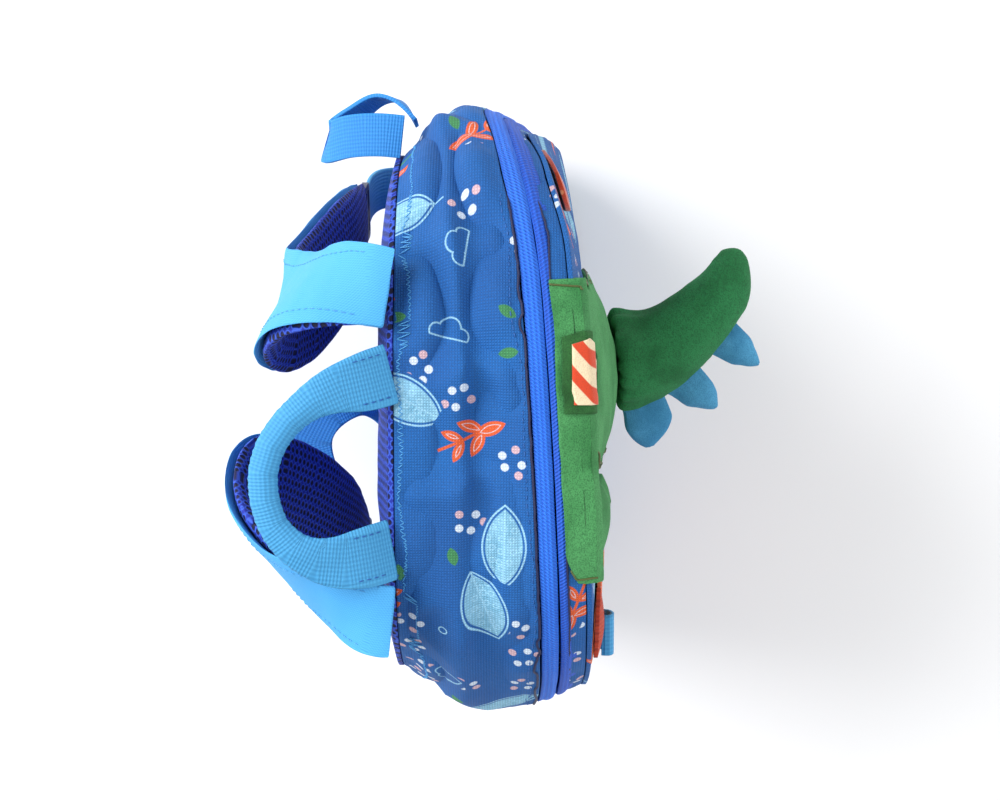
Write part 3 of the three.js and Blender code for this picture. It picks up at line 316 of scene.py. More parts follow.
@dataclass(frozen=True)
class PrintedCanvas:
    """Plain-woven canvas with a print of leaves, sprigs, clouds and pebbles."""

    name: str = "printed_canvas"
    ground: Colour = srgb(14, 102, 176)
    ground_deep: Colour = srgb(6, 68, 136)
    leaf: Colour = srgb(84, 150, 182)
    pale: Colour = srgb(150, 200, 226)
    orange: Colour = srgb(214, 88, 40)
    green: Colour = srgb(60, 130, 80)
    white: Colour = srgb(206, 218, 232)
    ochre: Colour = srgb(226, 168, 72)
    pink: Colour = srgb(206, 170, 178)
    big_cell: float = 37.0
    small_cell: float = 20.0
    leaf_turn: float = -0.75
    far: float = 99.0
    puffs: tuple[tuple[tuple[float, float, float], float], ...] = (
        ((-4.2, -0.6, 0.0), 3.0), ((0.2, 1.6, 0.0), 4.0), ((4.6, -0.4, 0.0), 2.8),
    )

    def lens(self, r: Recipe, point: Socket, length: float, width: float) -> Socket:
        """The distance outside a pointed leaf that lies along x.

        Args:
            r: The material's recipe.
            point: Where it is measured.
            length: The leaf's length.
            width: The leaf's width.

        Returns:
            The distance's socket, negative inside.
        """
        radius = (length**2 + width**2) / (4 * width)
        arm = radius - width / 2
        above = r.vector("DISTANCE", point, (0.0, arm, 0.0)).outputs[1]
        below = r.vector("DISTANCE", point, (0.0, -arm, 0.0)).outputs[1]
        return r.math("SUBTRACT", r.math("MAXIMUM", above, below), radius)

    def turned(self, r: Recipe, point: Socket, angle: object) -> Socket:
        """A point turned about the cloth's normal."""
        inputs = {"Vector": point, "Angle": angle}
        return r.node("VectorRotate", inputs, rotation_type="Z_AXIS").outputs[0]

    def cell(self, r: Recipe, point: Socket, size: float,
             spread: float) -> tuple[Socket, Socket, Socket]:
        """The motif's own coordinates and two random numbers for it.

        Args:
            r: The material's recipe.
            point: The cloth's coordinates.
            size: The distance between motifs.
            spread: How irregularly they lie, from 0 to 1.

        Returns:
            The motif's coordinates and its two numbers from 0 to 1.
        """
        cells = r.cells(point, 1 / size, spread)
        lot = r.node("SeparateColor", {0: cells.outputs["Color"]})
        local = r.vector("SUBTRACT", point, cells.outputs["Position"]).outputs[0]
        angle = r.math("MULTIPLY", lot.outputs[0], 2 * math.pi)
        return self.turned(r, local, angle), lot.outputs[1], lot.outputs[2]

    def big_motifs(self, r: Recipe, point: Socket, ground: object) -> tuple[Socket, Socket]:
        """Leaves, sprigs and clouds.

        Args:
            r: The material's recipe.
            point: The cloth's coordinates.
            ground: The colour under them.

        Returns:
            The colour with them, and how far the point lies outside them.
        """
        local, kind, _ = self.cell(r, point, self.big_cell, 0.62)
        is_leaf = r.under(kind, 0.42, 0.001)
        is_cloud = r.reverse(r.under(kind, 0.72, 0.001))
        is_sprig = r.reverse(r.math("ADD", is_leaf, is_cloud))
        colour, leaf = self.big_leaf(r, local, ground, is_leaf)
        colour, sprig = self.sprig(r, local, colour, is_sprig)
        colour, cloud = self.cloud(r, local, colour, is_cloud)
        reach: Socket | None = None
        for shape, shown in ((leaf, is_leaf), (sprig, is_sprig), (cloud, is_cloud)):
            part = r.math("ADD", shape, r.both(r.reverse(shown), self.far))
            reach = part if reach is None else r.math("MINIMUM", reach, part)
        return colour, reach

    def big_leaf(self, r: Recipe, local: Socket, ground: object, shown: Socket) -> tuple[Socket, Socket]:
        """A pointed leaf with a midrib, rings and an outline.

        Args:
            r: The material's recipe.
            local: The motif's coordinates.
            ground: The colour under it.
            shown: Where it is printed.

        Returns:
            The colour with it, and how far the point lies outside it.
        """
        x, y, _ = r.axes(local)
        leaf = self.lens(r, local, 30.0, 14.0)
        ring = r.near(r.cells(local, 0.24, 0.5).outputs["Distance"], 0.24, 0.07, 0.05)
        rib = r.near(y, 0.0, 0.35, 0.25)
        edge = r.near(leaf, 1.1, 0.32, 0.2)
        stalk = r.both(rib, r.near(x, 16.5, 3.5, 0.3))
        shade = r.mix(r.grain(local, 9.0), self.leaf, self.pale)
        fill = r.mix(r.both(r.math("MAXIMUM", ring, rib), 0.75), shade, self.pale)
        colour = r.mix(r.both(shown, r.under(leaf, 0.0, 0.25)), ground, fill)
        return r.mix(r.both(shown, r.math("MAXIMUM", edge, stalk)), colour, self.pale), leaf

    def sprig(self, r: Recipe, local: Socket, ground: object, shown: Socket) -> tuple[Socket, Socket]:
        """A twig with a leaf at its tip and two pairs of leaves beside it.

        Args:
            r: The material's recipe.
            local: The motif's coordinates.
            ground: The colour under it.
            shown: Where it is printed.

        Returns:
            The colour with it, and how far the point lies outside it.
        """
        x, y, _ = r.axes(local)
        beside = r.math("ABSOLUTE", y)
        mirrored = r.node("CombineXYZ", {0: x, 1: beside, 2: 0.0}).outputs[0]
        along = r.math("SUBTRACT", r.math("ABSOLUTE", r.math("SUBTRACT", x, 3.0)), 9.0)
        sprig = r.math("MAXIMUM", r.math("SUBTRACT", beside, 0.55), along)
        leaves = (
            (mirrored, (-2.5, 3.4, 0.0), self.leaf_turn, 11.0, 4.6),
            (mirrored, (5.0, 3.0, 0.0), self.leaf_turn, 9.0, 3.8),
            (local, (-9.0, 0.0, 0.0), 0.0, 12.0, 5.2),
        )
        for point, middle, turn, length, width in leaves:
            moved = self.turned(r, r.vector("SUBTRACT", point, middle).outputs[0], turn)
            sprig = r.math("MINIMUM", sprig, self.lens(r, moved, length, width))
        warm = r.mix(r.both(r.near(sprig, -1.3, 0.16, 0.12), 0.6), self.orange, self.white)
        return r.mix(r.both(shown, r.under(sprig, 0.0, 0.2)), ground, warm), sprig

    def cloud(self, r: Recipe, local: Socket, ground: object, shown: Socket) -> tuple[Socket, Socket]:
        """The outline of a flat-bottomed cloud.

        Args:
            r: The material's recipe.
            local: The motif's coordinates.
            ground: The colour under it.
            shown: Where it is printed.

        Returns:
            The colour with it, and how far the point lies outside it.
        """
        cloud: Socket | None = None
        for centre, radius in self.puffs:
            puff = r.math("SUBTRACT", r.vector("DISTANCE", local, centre).outputs[1], radius)
            cloud = puff if cloud is None else r.math("MINIMUM", cloud, puff)
        cloud = r.math("MAXIMUM", cloud, r.math("SUBTRACT", -2.0, r.axes(local)[1]))
        line = r.near(cloud, 0.0, 0.3, 0.18)
        return r.mix(r.both(r.both(shown, line), 0.9), ground, self.pale), cloud

    def small_motifs(self, r: Recipe, point: Socket, ground: Socket, reach: Socket) -> Socket:
        """Pebbles in loose groups, and small green sprouts, where nothing big lies.

        Args:
            r: The material's recipe.
            point: The cloth's coordinates.
            ground: The colour under them.
            reach: How far the point lies outside the big motifs.

        Returns:
            The colour with them.
        """
        moved = r.vector("ADD", point, (13.0, 7.0, 0.0)).outputs[0]
        local, kind, _ = self.cell(r, moved, self.small_cell, 0.7)
        free = r.reverse(r.under(reach, 2.6, 0.3))
        stones = r.cells(local, 0.2, 0.6)
        lot = r.node("SeparateColor", {0: stones.outputs["Color"]})
        stone = r.under(stones.outputs["Distance"], 0.31, 0.04)
        middle = r.vector("LENGTH", stones.outputs["Position"]).outputs[1]
        group = r.both(r.under(middle, 6.4, 0.01), r.under(kind, 0.4, 0.001))
        tint = r.mix(r.under(lot.outputs[0], 0.36, 0.001), self.white, self.ochre)
        tint = r.mix(r.under(lot.outputs[1], 0.3, 0.001), tint, self.pink)
        colour = r.mix(r.both(r.both(group, stone), r.both(free, 0.95)), ground, tint)
        sprout = self.lens(r, local, 7.5, 4.0)
        is_sprout = r.both(r.under(kind, 0.58, 0.001), r.reverse(r.under(kind, 0.42, 0.001)))
        colour = r.mix(r.both(r.both(is_sprout, free), r.under(sprout, 0.0, 0.25)), colour, self.green)
        bubble = r.near(r.vector("LENGTH", local).outputs[1], 1.5, 0.24, 0.14)
        is_bubble = r.reverse(r.under(kind, 0.8, 0.001))
        return r.mix(r.both(r.both(is_bubble, free), bubble), colour, self.pale)

    def make(self) -> Material:
        """Mixes the material.

        Returns:
            The finished material.
        """
        r = Recipe(self.name, self.ground, 0.82)
        point = r.cloth()
        ground = r.mix(r.grain(point, 38.0), self.ground_deep, self.ground)
        colour, reach = self.big_motifs(r, point, ground)
        colour = self.small_motifs(r, point, colour, reach)
        u, v, _ = r.axes(point)
        weave = r.math("MULTIPLY", r.wave(u, 1.05), r.wave(v, 1.05))
        worn = r.math("MULTIPLY_ADD", r.grain(point, 0.9, 1.0), 0.5, r.math("MULTIPLY", weave, 0.6))
        light = r.math("MULTIPLY_ADD", worn, 0.8, 0.62)
        scaled = r.vector("SCALE", colour)
        r.put(scaled.inputs["Scale"], light)
        r.colour(scaled.outputs[0])
        r.emboss(weave, 0.22)
        r.emboss(r.grain(point, 5.0), 0.3)
        return r.finish()


@dataclass(frozen=True)
class RibbedCloth:
    """Cloth with ribs along and across it, such as webbing, twill or a zipper's tape."""

    name: str
    colour: Colour
    light: Colour
    rib_across: float = 1.6
    rib_along: float = 1.6
    depth: float = 0.35
    slant: float = 0.0
    speckle: float = 0.35
    roughness: float = 0.7
    # From this distance from the middle, in millimetres, the rims are painted lighter as a highlight; 0 for
    # none.
    edge: float = 0.0

    def make(self) -> Material:
        """Mixes the material.

        Returns:
            The finished material.
        """
        r = Recipe(self.name, self.colour, self.roughness)
        point = r.cloth()
        u, v, _ = r.axes(point)
        lean = r.math("MULTIPLY_ADD", u, self.slant, v)
        along = r.wave(lean, self.rib_along)
        across = r.wave(u, self.rib_across)
        rib = r.math("MULTIPLY_ADD", across, 0.45, r.math("MULTIPLY", along, 0.55))
        speck = r.grain(point, 0.55, 1.0)
        share = r.math("MULTIPLY_ADD", speck, self.speckle, r.math("MULTIPLY", rib, 1 - self.speckle))
        shade = r.mix(share, self.colour, self.light)
        # Painted highlight: the band's rolled rims are painted in the lighter colour, as if catching the
        # light.
        if self.edge:
            rim = r.reverse(r.near(u, 0.0, self.edge, 0.25))
            shade = r.mix(r.both(rim, 0.6), shade, self.light)
        r.colour(r.mix(r.both(r.grain(point, 26.0), 0.25), shade, self.colour))
        r.emboss(rib, self.depth)
        r.emboss(r.grain(point, 6.0), 0.15)
        return r.finish()


@dataclass(frozen=True)
class SpacerMesh:
    """Padded knitted mesh with rows of open holes."""

    name: str = "spacer_mesh"
    colour: Colour = srgb(10, 34, 150)
    light: Colour = srgb(70, 120, 240)
    # Painted shade: the colour of the shade inside the mesh's openings.
    hole_shade: Colour = srgb(2, 5, 44)
    pitch: float = 3.3

    def make(self) -> Material:
        """Mixes the material.

        Returns:
            The finished material.
        """
        r = Recipe(self.name, self.colour, 0.75)
        point = r.cloth()
        away = r.cells(point, 1 / self.pitch, 0.12).outputs["Distance"]
        opening = r.under(away, 0.31, 0.09)
        strands = r.grain(point, 0.6, 1.0)
        rim = r.near(away, 0.45, 0.07, 0.06)
        shade = r.mix(r.math("MULTIPLY", rim, strands), self.colour, self.light)
        # The openings are painted near black as shade.
        r.colour(r.mix(opening, shade, self.hole_shade))
        r.emboss(r.reverse(opening), 0.7)
        r.emboss(strands, 0.12)
        return r.finish()


@dataclass(frozen=True)
class Pile:
    """Short-pile plush or felt."""

    name: str
    colour: Colour
    deep: Colour
    light: Colour
    nap: float = 0.5
    patches: float = 22.0
    sheen: float = 0.22
    relief: float = 0.22

    def make(self) -> Material:
        """Mixes the material.

        Returns:
            The finished material.
        """
        r = Recipe(self.name, self.colour, 0.95)
        point = r.place()
        brushed = r.grain(point, self.patches, 3.0)
        fibre = r.grain(point, self.nap, 2.0)
        speck = r.grain(point, 2.2, 2.0)
        shade = r.mix(r.under(brushed, 0.47, 0.16), self.light, self.colour)
        shade = r.mix(r.both(r.under(fibre, 0.46, 0.14), 0.55), shade, self.deep)
        r.colour(r.mix(r.both(r.under(speck, 0.4, 0.16), 0.18), shade, self.deep))
        r.emboss(fibre, self.relief)
        r.emboss(speck, self.relief * 0.6)
        r.shader.inputs["Sheen Weight"].default_value = self.sheen
        r.shader.inputs["Sheen Roughness"].default_value = 0.45
        r.shader.inputs["Sheen Tint"].default_value = (*self.light, 1)
        return r.finish()


@dataclass(frozen=True)
class StripedFelt:
    """Felt printed with slanting stripes."""

    name: str = "striped_felt"
    orange: Colour = srgb(206, 62, 22)
    cream: Colour = srgb(228, 208, 172)
    deep: Colour = srgb(120, 60, 30)
    pitch: float = 12.5

    def make(self) -> Material:
        """Mixes the material.

        Returns:
            The finished material.
        """
        r = Recipe(self.name, self.orange, 0.9)
        point = r.place()
        x, y, z = r.axes(point)
        slant = r.math("MULTIPLY_ADD", y, -1.2, r.math("MULTIPLY_ADD", z, 0.35, x))
        stripe = r.under(r.wave(slant, self.pitch), 0.56, 0.08)
        fibre = r.grain(point, 0.5)
        shade = r.mix(stripe, self.orange, self.cream)
        r.colour(r.mix(r.both(r.under(fibre, 0.45, 0.12), 0.2), shade, self.deep))
        r.emboss(fibre, 0.18)
        r.shader.inputs["Sheen Weight"].default_value = 0.2
        return r.finish()


@dataclass(frozen=True)
class SpottedPlush:
    """Orange plush with small pale spots."""

    name: str = "spotted_plush"
    colour: Colour = srgb(196, 62, 20)
    spot: Colour = srgb(230, 150, 96)
    deep: Colour = srgb(120, 34, 12)
    spacing: float = 7.0

    def make(self) -> Material:
        """Mixes the material.

        Returns:
            The finished material.
        """
        r = Recipe(self.name, self.colour, 0.95)
        point = r.place()
        cells = r.cells(point, 1 / self.spacing, 0.6, "3D")
        spot = r.under(cells.outputs["Distance"], 0.22, 0.04)
        fibre = r.grain(point, 0.5)
        shade = r.mix(spot, self.colour, self.spot)
        r.colour(r.mix(r.both(r.under(fibre, 0.45, 0.12), 0.3), shade, self.deep))
        r.emboss(fibre, 0.25)
        r.shader.inputs["Sheen Weight"].default_value = 0.4
        return r.finish()


@dataclass(frozen=True)
class MouldedPlastic:
    """Dark moulded plastic with a fine grain."""

    name: str = "moulded_plastic"
    colour: Colour = srgb(14, 22, 56)
    scuffed: Colour = srgb(44, 58, 104)

    def make(self) -> Material:
        """Mixes the material.

        Returns:
            The finished material.
        """
        r = Recipe(self.name, self.colour, 0.42)
        point = r.place()
        scuff = r.grain(point, 3.0, 3.0)
        r.colour(r.mix(r.both(scuff, 0.35), self.colour, self.scuffed))
        r.emboss(r.grain(point, 0.4), 0.03)
        return r.finish()


@dataclass(frozen=True)
class Thread:
    """Twisted sewing thread; a near-black copy also serves as a cord of painted shadow in the zipper's
    grooves.
    """

    name: str
    colour: Colour
    dark: Colour

    def make(self) -> Material:
        """Mixes the material.

        Returns:
            The finished material.
        """
        r = Recipe(self.name, self.colour, 0.55)
        point = r.place()
        x, y, z = r.axes(point)
        twist = r.wave(r.math("ADD", x, r.math("ADD", y, z)), 0.5)
        r.colour(r.mix(twist, self.dark, self.colour))
        r.emboss(twist, 0.05)
        return r.finish()


class Slot(Enum):
    """The record's material slots."""

    PRINT = "print_canvas"
    ZIP = "zip_tape"
    MESH = "spacer_mesh"
    TWILL = "strap_twill"
    WEBBING = "webbing"
    GREEN = "plush_green"
    SPIKE = "spike_felt"
    BORDER = "border_felt"
    STRIPE = "stripe_felt"
    SPOTTED = "spotted_plush"
    POCKET = "pocket_canvas"
    BAND = "band_webbing"
    PLASTIC = "dark_plastic"


# Middle lines of the ribbons from end to end, in millimetres: place, then the direction of the width.
STRAP_RIGHT: tuple[Station, ...] = (
    (61.2, 43.2, 306.2, 0.98, -0.18, 0.01), (62.4, 50.4, 305.3, 0.99, -0.09, -0.06),
    (62.1, 60.9, 299.8, 0.89, -0.18, -0.41), (59.4, 71.9, 290.7, 0.74, -0.35, -0.57),
    (54.8, 80.9, 276.0, 0.75, -0.49, -0.44), (50.2, 86.2, 258.3, 0.90, -0.36, -0.26),
    (47.7, 87.3, 239.4, 0.99, -0.12, -0.05), (49.5, 84.3, 218.0, 0.98, 0.08, 0.19),
    (56.6, 78.7, 193.2, 0.94, 0.15, 0.31), (66.6, 73.3, 165.1, 0.96, 0.10, 0.27),
    (75.2, 69.6, 133.8, 0.97, 0.02, 0.25), (82.8, 68.0, 103.0, 0.97, 0.01, 0.24),
)
STRAP_LEFT: tuple[Station, ...] = (
    (-63.0, 43.2, 305.4, -1.00, 0.07, -0.00), (-62.1, 50.3, 304.9, -0.96, 0.24, -0.15),
    (-56.5, 62.8, 299.4, -0.82, 0.08, -0.57), (-50.7, 76.9, 290.5, -0.68, -0.23, -0.70),
    (-42.1, 90.4, 276.7, -0.65, -0.37, -0.67), (-33.3, 99.0, 259.3, -0.81, -0.37, -0.45),
    (-28.0, 101.2, 240.7, -0.97, -0.18, -0.14), (-29.3, 97.4, 220.7, -0.97, 0.11, 0.23),
    (-37.9, 88.7, 197.9, -0.91, 0.26, 0.32), (-50.6, 78.5, 171.0, -0.92, 0.20, 0.33),
    (-63.6, 70.6, 137.5, -0.95, 0.04, 0.32), (-74.4, 68.7, 103.0, -0.96, 0.01, 0.29),
)
WEBBING_RIGHT: tuple[Station, ...] = (
    (87.1, 67.2, 85.4, 0.97, 0.00, 0.25), (90.4, 67.1, 74.1, 0.96, 0.00, 0.29),
    (94.0, 65.5, 60.5, 0.98, 0.00, 0.21), (96.0, 61.9, 48.7, 0.99, 0.00, 0.12),
    (96.7, 56.5, 39.9, 1.00, 0.00, 0.05), (96.8, 51.3, 31.2, 1.00, 0.00, -0.02),
    (96.8, 49.4, 28.2, 1.00, 0.00, -0.01),
)
WEBBING_LEFT: tuple[Station, ...] = (
    (-79.7, 67.9, 85.7, -0.96, 0.00, 0.27), (-80.4, 68.7, 79.4, -0.99, 0.02, -0.15),
    (-74.0, 75.4, 72.0, -0.64, 0.44, -0.63), (-54.5, 88.7, 71.8, -0.39, 0.85, -0.35),
    (-28.8, 96.6, 78.7, 0.07, 1.00, -0.01), (-13.1, 88.4, 80.4, 0.75, 0.66, 0.07),
    (-5.6, 73.6, 75.5, 0.99, 0.11, 0.03), (-10.3, 62.2, 63.5, 0.85, -0.36, -0.40),
    (-26.4, 56.1, 50.9, 0.50, -0.20, -0.84), (-48.3, 54.0, 41.5, 0.29, -0.01, -0.96),
    (-71.2, 53.2, 36.4, 0.14, 0.00, -0.99), (-92.4, 49.9, 34.3, 0.09, -0.00, -1.00),
)
HANDLE: tuple[Station, ...] = (
    (29.5, 42.9, 304.3, -0.97, -0.24, -0.00), (27.6, 50.5, 309.7, -0.97, -0.24, 0.00),
    (25.4, 60.4, 314.1, -0.97, -0.25, 0.00), (21.1, 70.2, 316.8, -0.85, -0.52, 0.00),
    (14.1, 78.9, 318.3, -0.69, -0.72, 0.00), (5.2, 85.2, 319.3, -0.44, -0.90, -0.00),
    (-4.4, 88.1, 319.8, -0.12, -0.99, 0.00), (-14.5, 87.7, 319.8, 0.17, -0.98, 0.00),
    (-24.2, 84.8, 319.3, 0.44, -0.90, 0.00), (-32.2, 78.1, 318.8, 0.78, -0.63, 0.00),
    (-37.0, 69.0, 317.7, 0.96, -0.28, 0.00), (-38.2, 59.1, 315.1, 1.00, 0.07, 0.00),
    (-37.0, 49.7, 310.4, 0.99, 0.14, 0.00), (-35.8, 42.9, 304.3, 0.99, 0.17, 0.00),
)
SIDE_LOOP: tuple[Station, ...] = (
    (116.8, 41.5, 239.4, 0.99, -0.11, -0.07), (117.5, 48.2, 239.4, 0.99, -0.08, -0.07),
    (117.6, 56.7, 237.9, 1.00, 0.02, -0.07), (116.8, 64.9, 234.3, 0.98, 0.11, -0.17),
    (115.0, 71.0, 228.6, 0.98, -0.07, -0.17), (115.3, 72.2, 221.6, 0.89, -0.37, 0.26),
    (119.3, 68.7, 217.6, 0.48, 0.38, 0.79), (126.1, 61.6, 217.6, 0.28, 0.28, 0.92),
    (131.8, 54.3, 218.4, 0.15, 0.25, 0.96), (132.9, 47.6, 220.1, 0.07, 0.28, 0.96),
    (129.4, 41.6, 221.7, 0.07, 0.14, 0.99), (122.7, 36.7, 222.7, 0.14, 0.00, 0.99),
)
FRONT_TAB: tuple[Station, ...] = (
    (-86.0, -39.0, 234.8, 1.0, 0.0, 0.0), (-86.0, -41.0, 235.6, 1.0, 0.0, 0.0),
    (-86.0, -42.7, 234.3, 1.0, 0.0, 0.0), (-86.0, -43.5, 230.9, 1.0, 0.0, 0.0),
    (-86.0, -42.7, 227.4, 1.0, 0.0, 0.0), (-86.0, -41.0, 225.3, 1.0, 0.0, 0.0),
    (-86.0, -39.0, 224.8, 1.0, 0.0, 0.0),
)


def ripple(place: Vector, size: float, seed: float) -> float:
    """Smooth noise from -1 to 1 at a place, with folds of a size."""
    return noise.noise(place / size + Vector((seed, seed * 1.7, -seed)))


def ease(value: float, low: float, high: float) -> float:
    """A smooth step from 0 at low to 1 at high."""
    share = max(0.0, min(1.0, (value - low) / (high - low)))
    return share * share * (3 - 2 * share)


@dataclass(frozen=True)
class Wave:
    """Soft folds of one size in a cloth, in millimetres."""

    depth: float
    size: float
    seed: float

    def at(self, place: Vector) -> float:
        """The fold's height at a place, in metres."""
        return self.depth * MM * ripple(place, self.size * MM, self.seed)


@dataclass(frozen=True)
class Stuffing:
    """How a sewn piece is filled, and how its cloth gives way."""

    voxel: float
    pressure: float
    cap: float = 3 * MM
    steps: int = 20
    quality: int = 4
    stiffness: float = 12.0
    slack: float = 0.3


def linked(name: str, data: bpy.types.ID) -> bpy.types.Object:
    """An object of a name and data, linked to the scene.

    Args:
        name: The object's name.
        data: Its mesh, lamp or camera.

    Returns:
        The object.
    """
    result = bpy.data.objects.new(name, data)
    bpy.context.scene.collection.objects.link(result)
    return result


class Workroom:
    """Where pieces are cut from the frame, shaped, stuffed and handed over."""

    def __init__(self, frame: dict) -> None:
        """Keeps the frame.
        """
        self.frame = frame

    def cut(self, node: str) -> Shape:
        """A merged copy of a node's mesh, with its triangles paired to quads.

        Args:
            node: The node's name.

        Returns:
            The copy.
        """
        shape = bmesh.new()
        shape.from_mesh(self.frame["nodes"][node].data)
        bmesh.ops.remove_doubles(shape, verts=shape.verts, dist=0.00002)
        bmesh.ops.join_triangles(
            shape,
            faces=shape.faces,
            angle_face_threshold=math.radians(40),
            angle_shape_threshold=math.radians(120),
        )
        return shape

    def draft(self, shape: Shape) -> bpy.types.Object:
        """Puts a shape in a passing object.

        Args:
            shape: The shape, which is used up.

        Returns:
            The passing object.
        """
        mesh = bpy.data.meshes.new("draft")
        shape.to_mesh(mesh)
        shape.free()
        return linked("draft", mesh)

    def baked(self, draft: bpy.types.Object) -> Shape:
        """The shape of a passing object with its modifiers, after which the object is gone.

        Args:
            draft: The passing object.

        Returns:
            Its shape.
        """
        graph = bpy.context.evaluated_depsgraph_get()
        mesh = bpy.data.meshes.new_from_object(draft.evaluated_get(graph))
        shape = bmesh.new()
        shape.from_mesh(mesh)
        old = draft.data
        bpy.data.objects.remove(draft)
        bpy.data.meshes.remove(old)
        bpy.data.meshes.remove(mesh)
        shape.normal_update()
        return shape

    def refine(self, shape: Shape, levels: int, sharp: float = 50.0,
               crease: float = 0.8) -> Shape:
        """A smoother shape that keeps its sewn edges.

        Args:
            shape: The coarse shape, which is used up.
            levels: How often it is divided.
            sharp: The angle from which an edge is kept, in degrees.
            crease: How firmly it is kept, from 0 to 1.

        Returns:
            The fine shape.
        """
        layer = shape.edges.layers.float.new("crease_edge")
        for edge in shape.edges:
            if len(edge.link_faces) == 2 and edge.calc_face_angle() > math.radians(sharp):
                edge[layer] = crease
        draft = self.draft(shape)
        smooth = draft.modifiers.new("Smooth", "SUBSURF")
        smooth.levels = levels
        smooth.render_levels = levels
        return self.baked(draft)

    def stuff(self, shape: Shape, stuffing: Stuffing, held: Callable[[Vector, Vector], float]) -> Shape:
        """Fills a sewn piece, so that its cloth swells and puckers at its seams.

        Args:
            shape: The piece, which is used up.
            stuffing: How it is filled.
            held: How firmly the cloth is sewn down at a place with a normal, from 0 to 1.

        Returns:
            The stuffed piece.
        """
        draft = self.draft(shape)
        remesh = draft.modifiers.new("Cells", "REMESH")
        remesh.mode = "VOXEL"
        remesh.voxel_size = stuffing.voxel
        draft = self.draft(self.baked(draft))
        pins = draft.vertex_groups.new(name="sewn")
        for vertex in draft.data.vertices:
            pins.add([vertex.index], held(vertex.co, vertex.normal), "REPLACE")
        before = [vertex.co.copy() for vertex in draft.data.vertices]
        cloth = draft.modifiers.new("Cloth", "CLOTH")
        cloth.settings.quality = stuffing.quality
        cloth.settings.use_pressure = True
        cloth.settings.uniform_pressure_force = stuffing.pressure
        cloth.settings.tension_stiffness = stuffing.stiffness
        cloth.settings.compression_stiffness = stuffing.stiffness
        cloth.settings.vertex_group_mass = "sewn"
        cloth.settings.effector_weights.gravity = 0
        cloth.point_cache.frame_start = 1
        cloth.point_cache.frame_end = stuffing.steps
        for step in range(1, stuffing.steps + 1):
            bpy.context.scene.frame_set(step)
        shape = self.baked(draft)
        bpy.context.scene.frame_set(1)
        shape.verts.ensure_lookup_table()
        for vertex, old in zip(shape.verts, before):
            move = vertex.co - old
            if move.length > stuffing.cap:
                vertex.co = old + move * (stuffing.cap / move.length)
        bmesh.ops.smooth_vert(
            shape, verts=shape.verts, factor=stuffing.slack, use_axis_x=True, use_axis_y=True, use_axis_z=True)
        return self.refine(shape, 1, sharp=180.0)

    def fold(self, shape: Shape, lift: Callable[[Vector], float]) -> None:
        """Moves each point of a shape along its normal.

        Args:
            shape: The shape.
            lift: How far a point at a place moves.
        """
        shape.normal_update()
        for vertex, move in [(v, v.normal * lift(v.co)) for v in shape.verts]:
            vertex.co += move

    def measure(self, shape: Shape, at: Chart) -> None:
        """Lays the cloth's own coordinates on a shape.

        Args:
            shape: The shape.
            at: The coordinates of a place on a face with a normal, in metres.
        """
        layer = shape.loops.layers.uv.new(CLOTH)
        for face in shape.faces:
            for loop in face.loops:
                loop[layer].uv = at(loop.vert.co, face.normal)

    def trim(self, shape: Shape, place: Vector, normal: Vector) -> None:
        """Cuts off what lies past a plane.

        Args:
            shape: The shape.
            place: A point of the plane.
            normal: The plane's normal, towards what is cut off.
        """
        geometry = list(shape.verts) + list(shape.edges) + list(shape.faces)
        bmesh.ops.bisect_plane(
            shape, geom=geometry, dist=1e-6, plane_co=place, plane_no=normal, clear_outer=True)

    def dress(self, name: str, node: str, shape: Shape,
              at: Chart, material: Material, slot: Slot,
              fill: float | None = None) -> BVHTree:
        """Lays the cloth's coordinates on a shape and hands it over in its node's place.

        Args:
            name: The piece's name.
            node: The node that it replaces.
            shape: The shape, which is used up.
            at: The coordinates of a place on a face with a normal, in metres.
            material: Its material.
            slot: The record's slot of its finish.
            fill: How full it is where it is padded.

        Returns:
            The piece's surface.
        """
        self.measure(shape, at)
        tree = BVHTree.FromBMesh(shape)
        self.hand_over(name, shape, material, slot, [node], fill)
        return tree

    def hand_over(self, name: str, shape: Shape, material: Material, slot: Slot,
                  nodes: Sequence[str] = (), fill: float | None = None) -> bpy.types.Object:
        """Makes a shape a finished piece of the object.

        Args:
            name: The piece's name.
            shape: The shape, which is used up.
            material: Its material.
            slot: The record's slot of its finish; not used.
            nodes: The nodes that it replaces.
            fill: How full it is where it is padded; not used.

        Returns:
            The piece.
        """
        mesh = bpy.data.meshes.new(name)
        shape.to_mesh(mesh)
        shape.free()
        mesh.polygons.foreach_set("use_smooth", [True] * len(mesh.polygons))
        mesh.materials.append(material)
        piece = linked(name, mesh)
        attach(piece, BODY)
        if nodes:
            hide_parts(*nodes)
        LOG.info("%s: %d faces", name, len(mesh.polygons))
        return piece


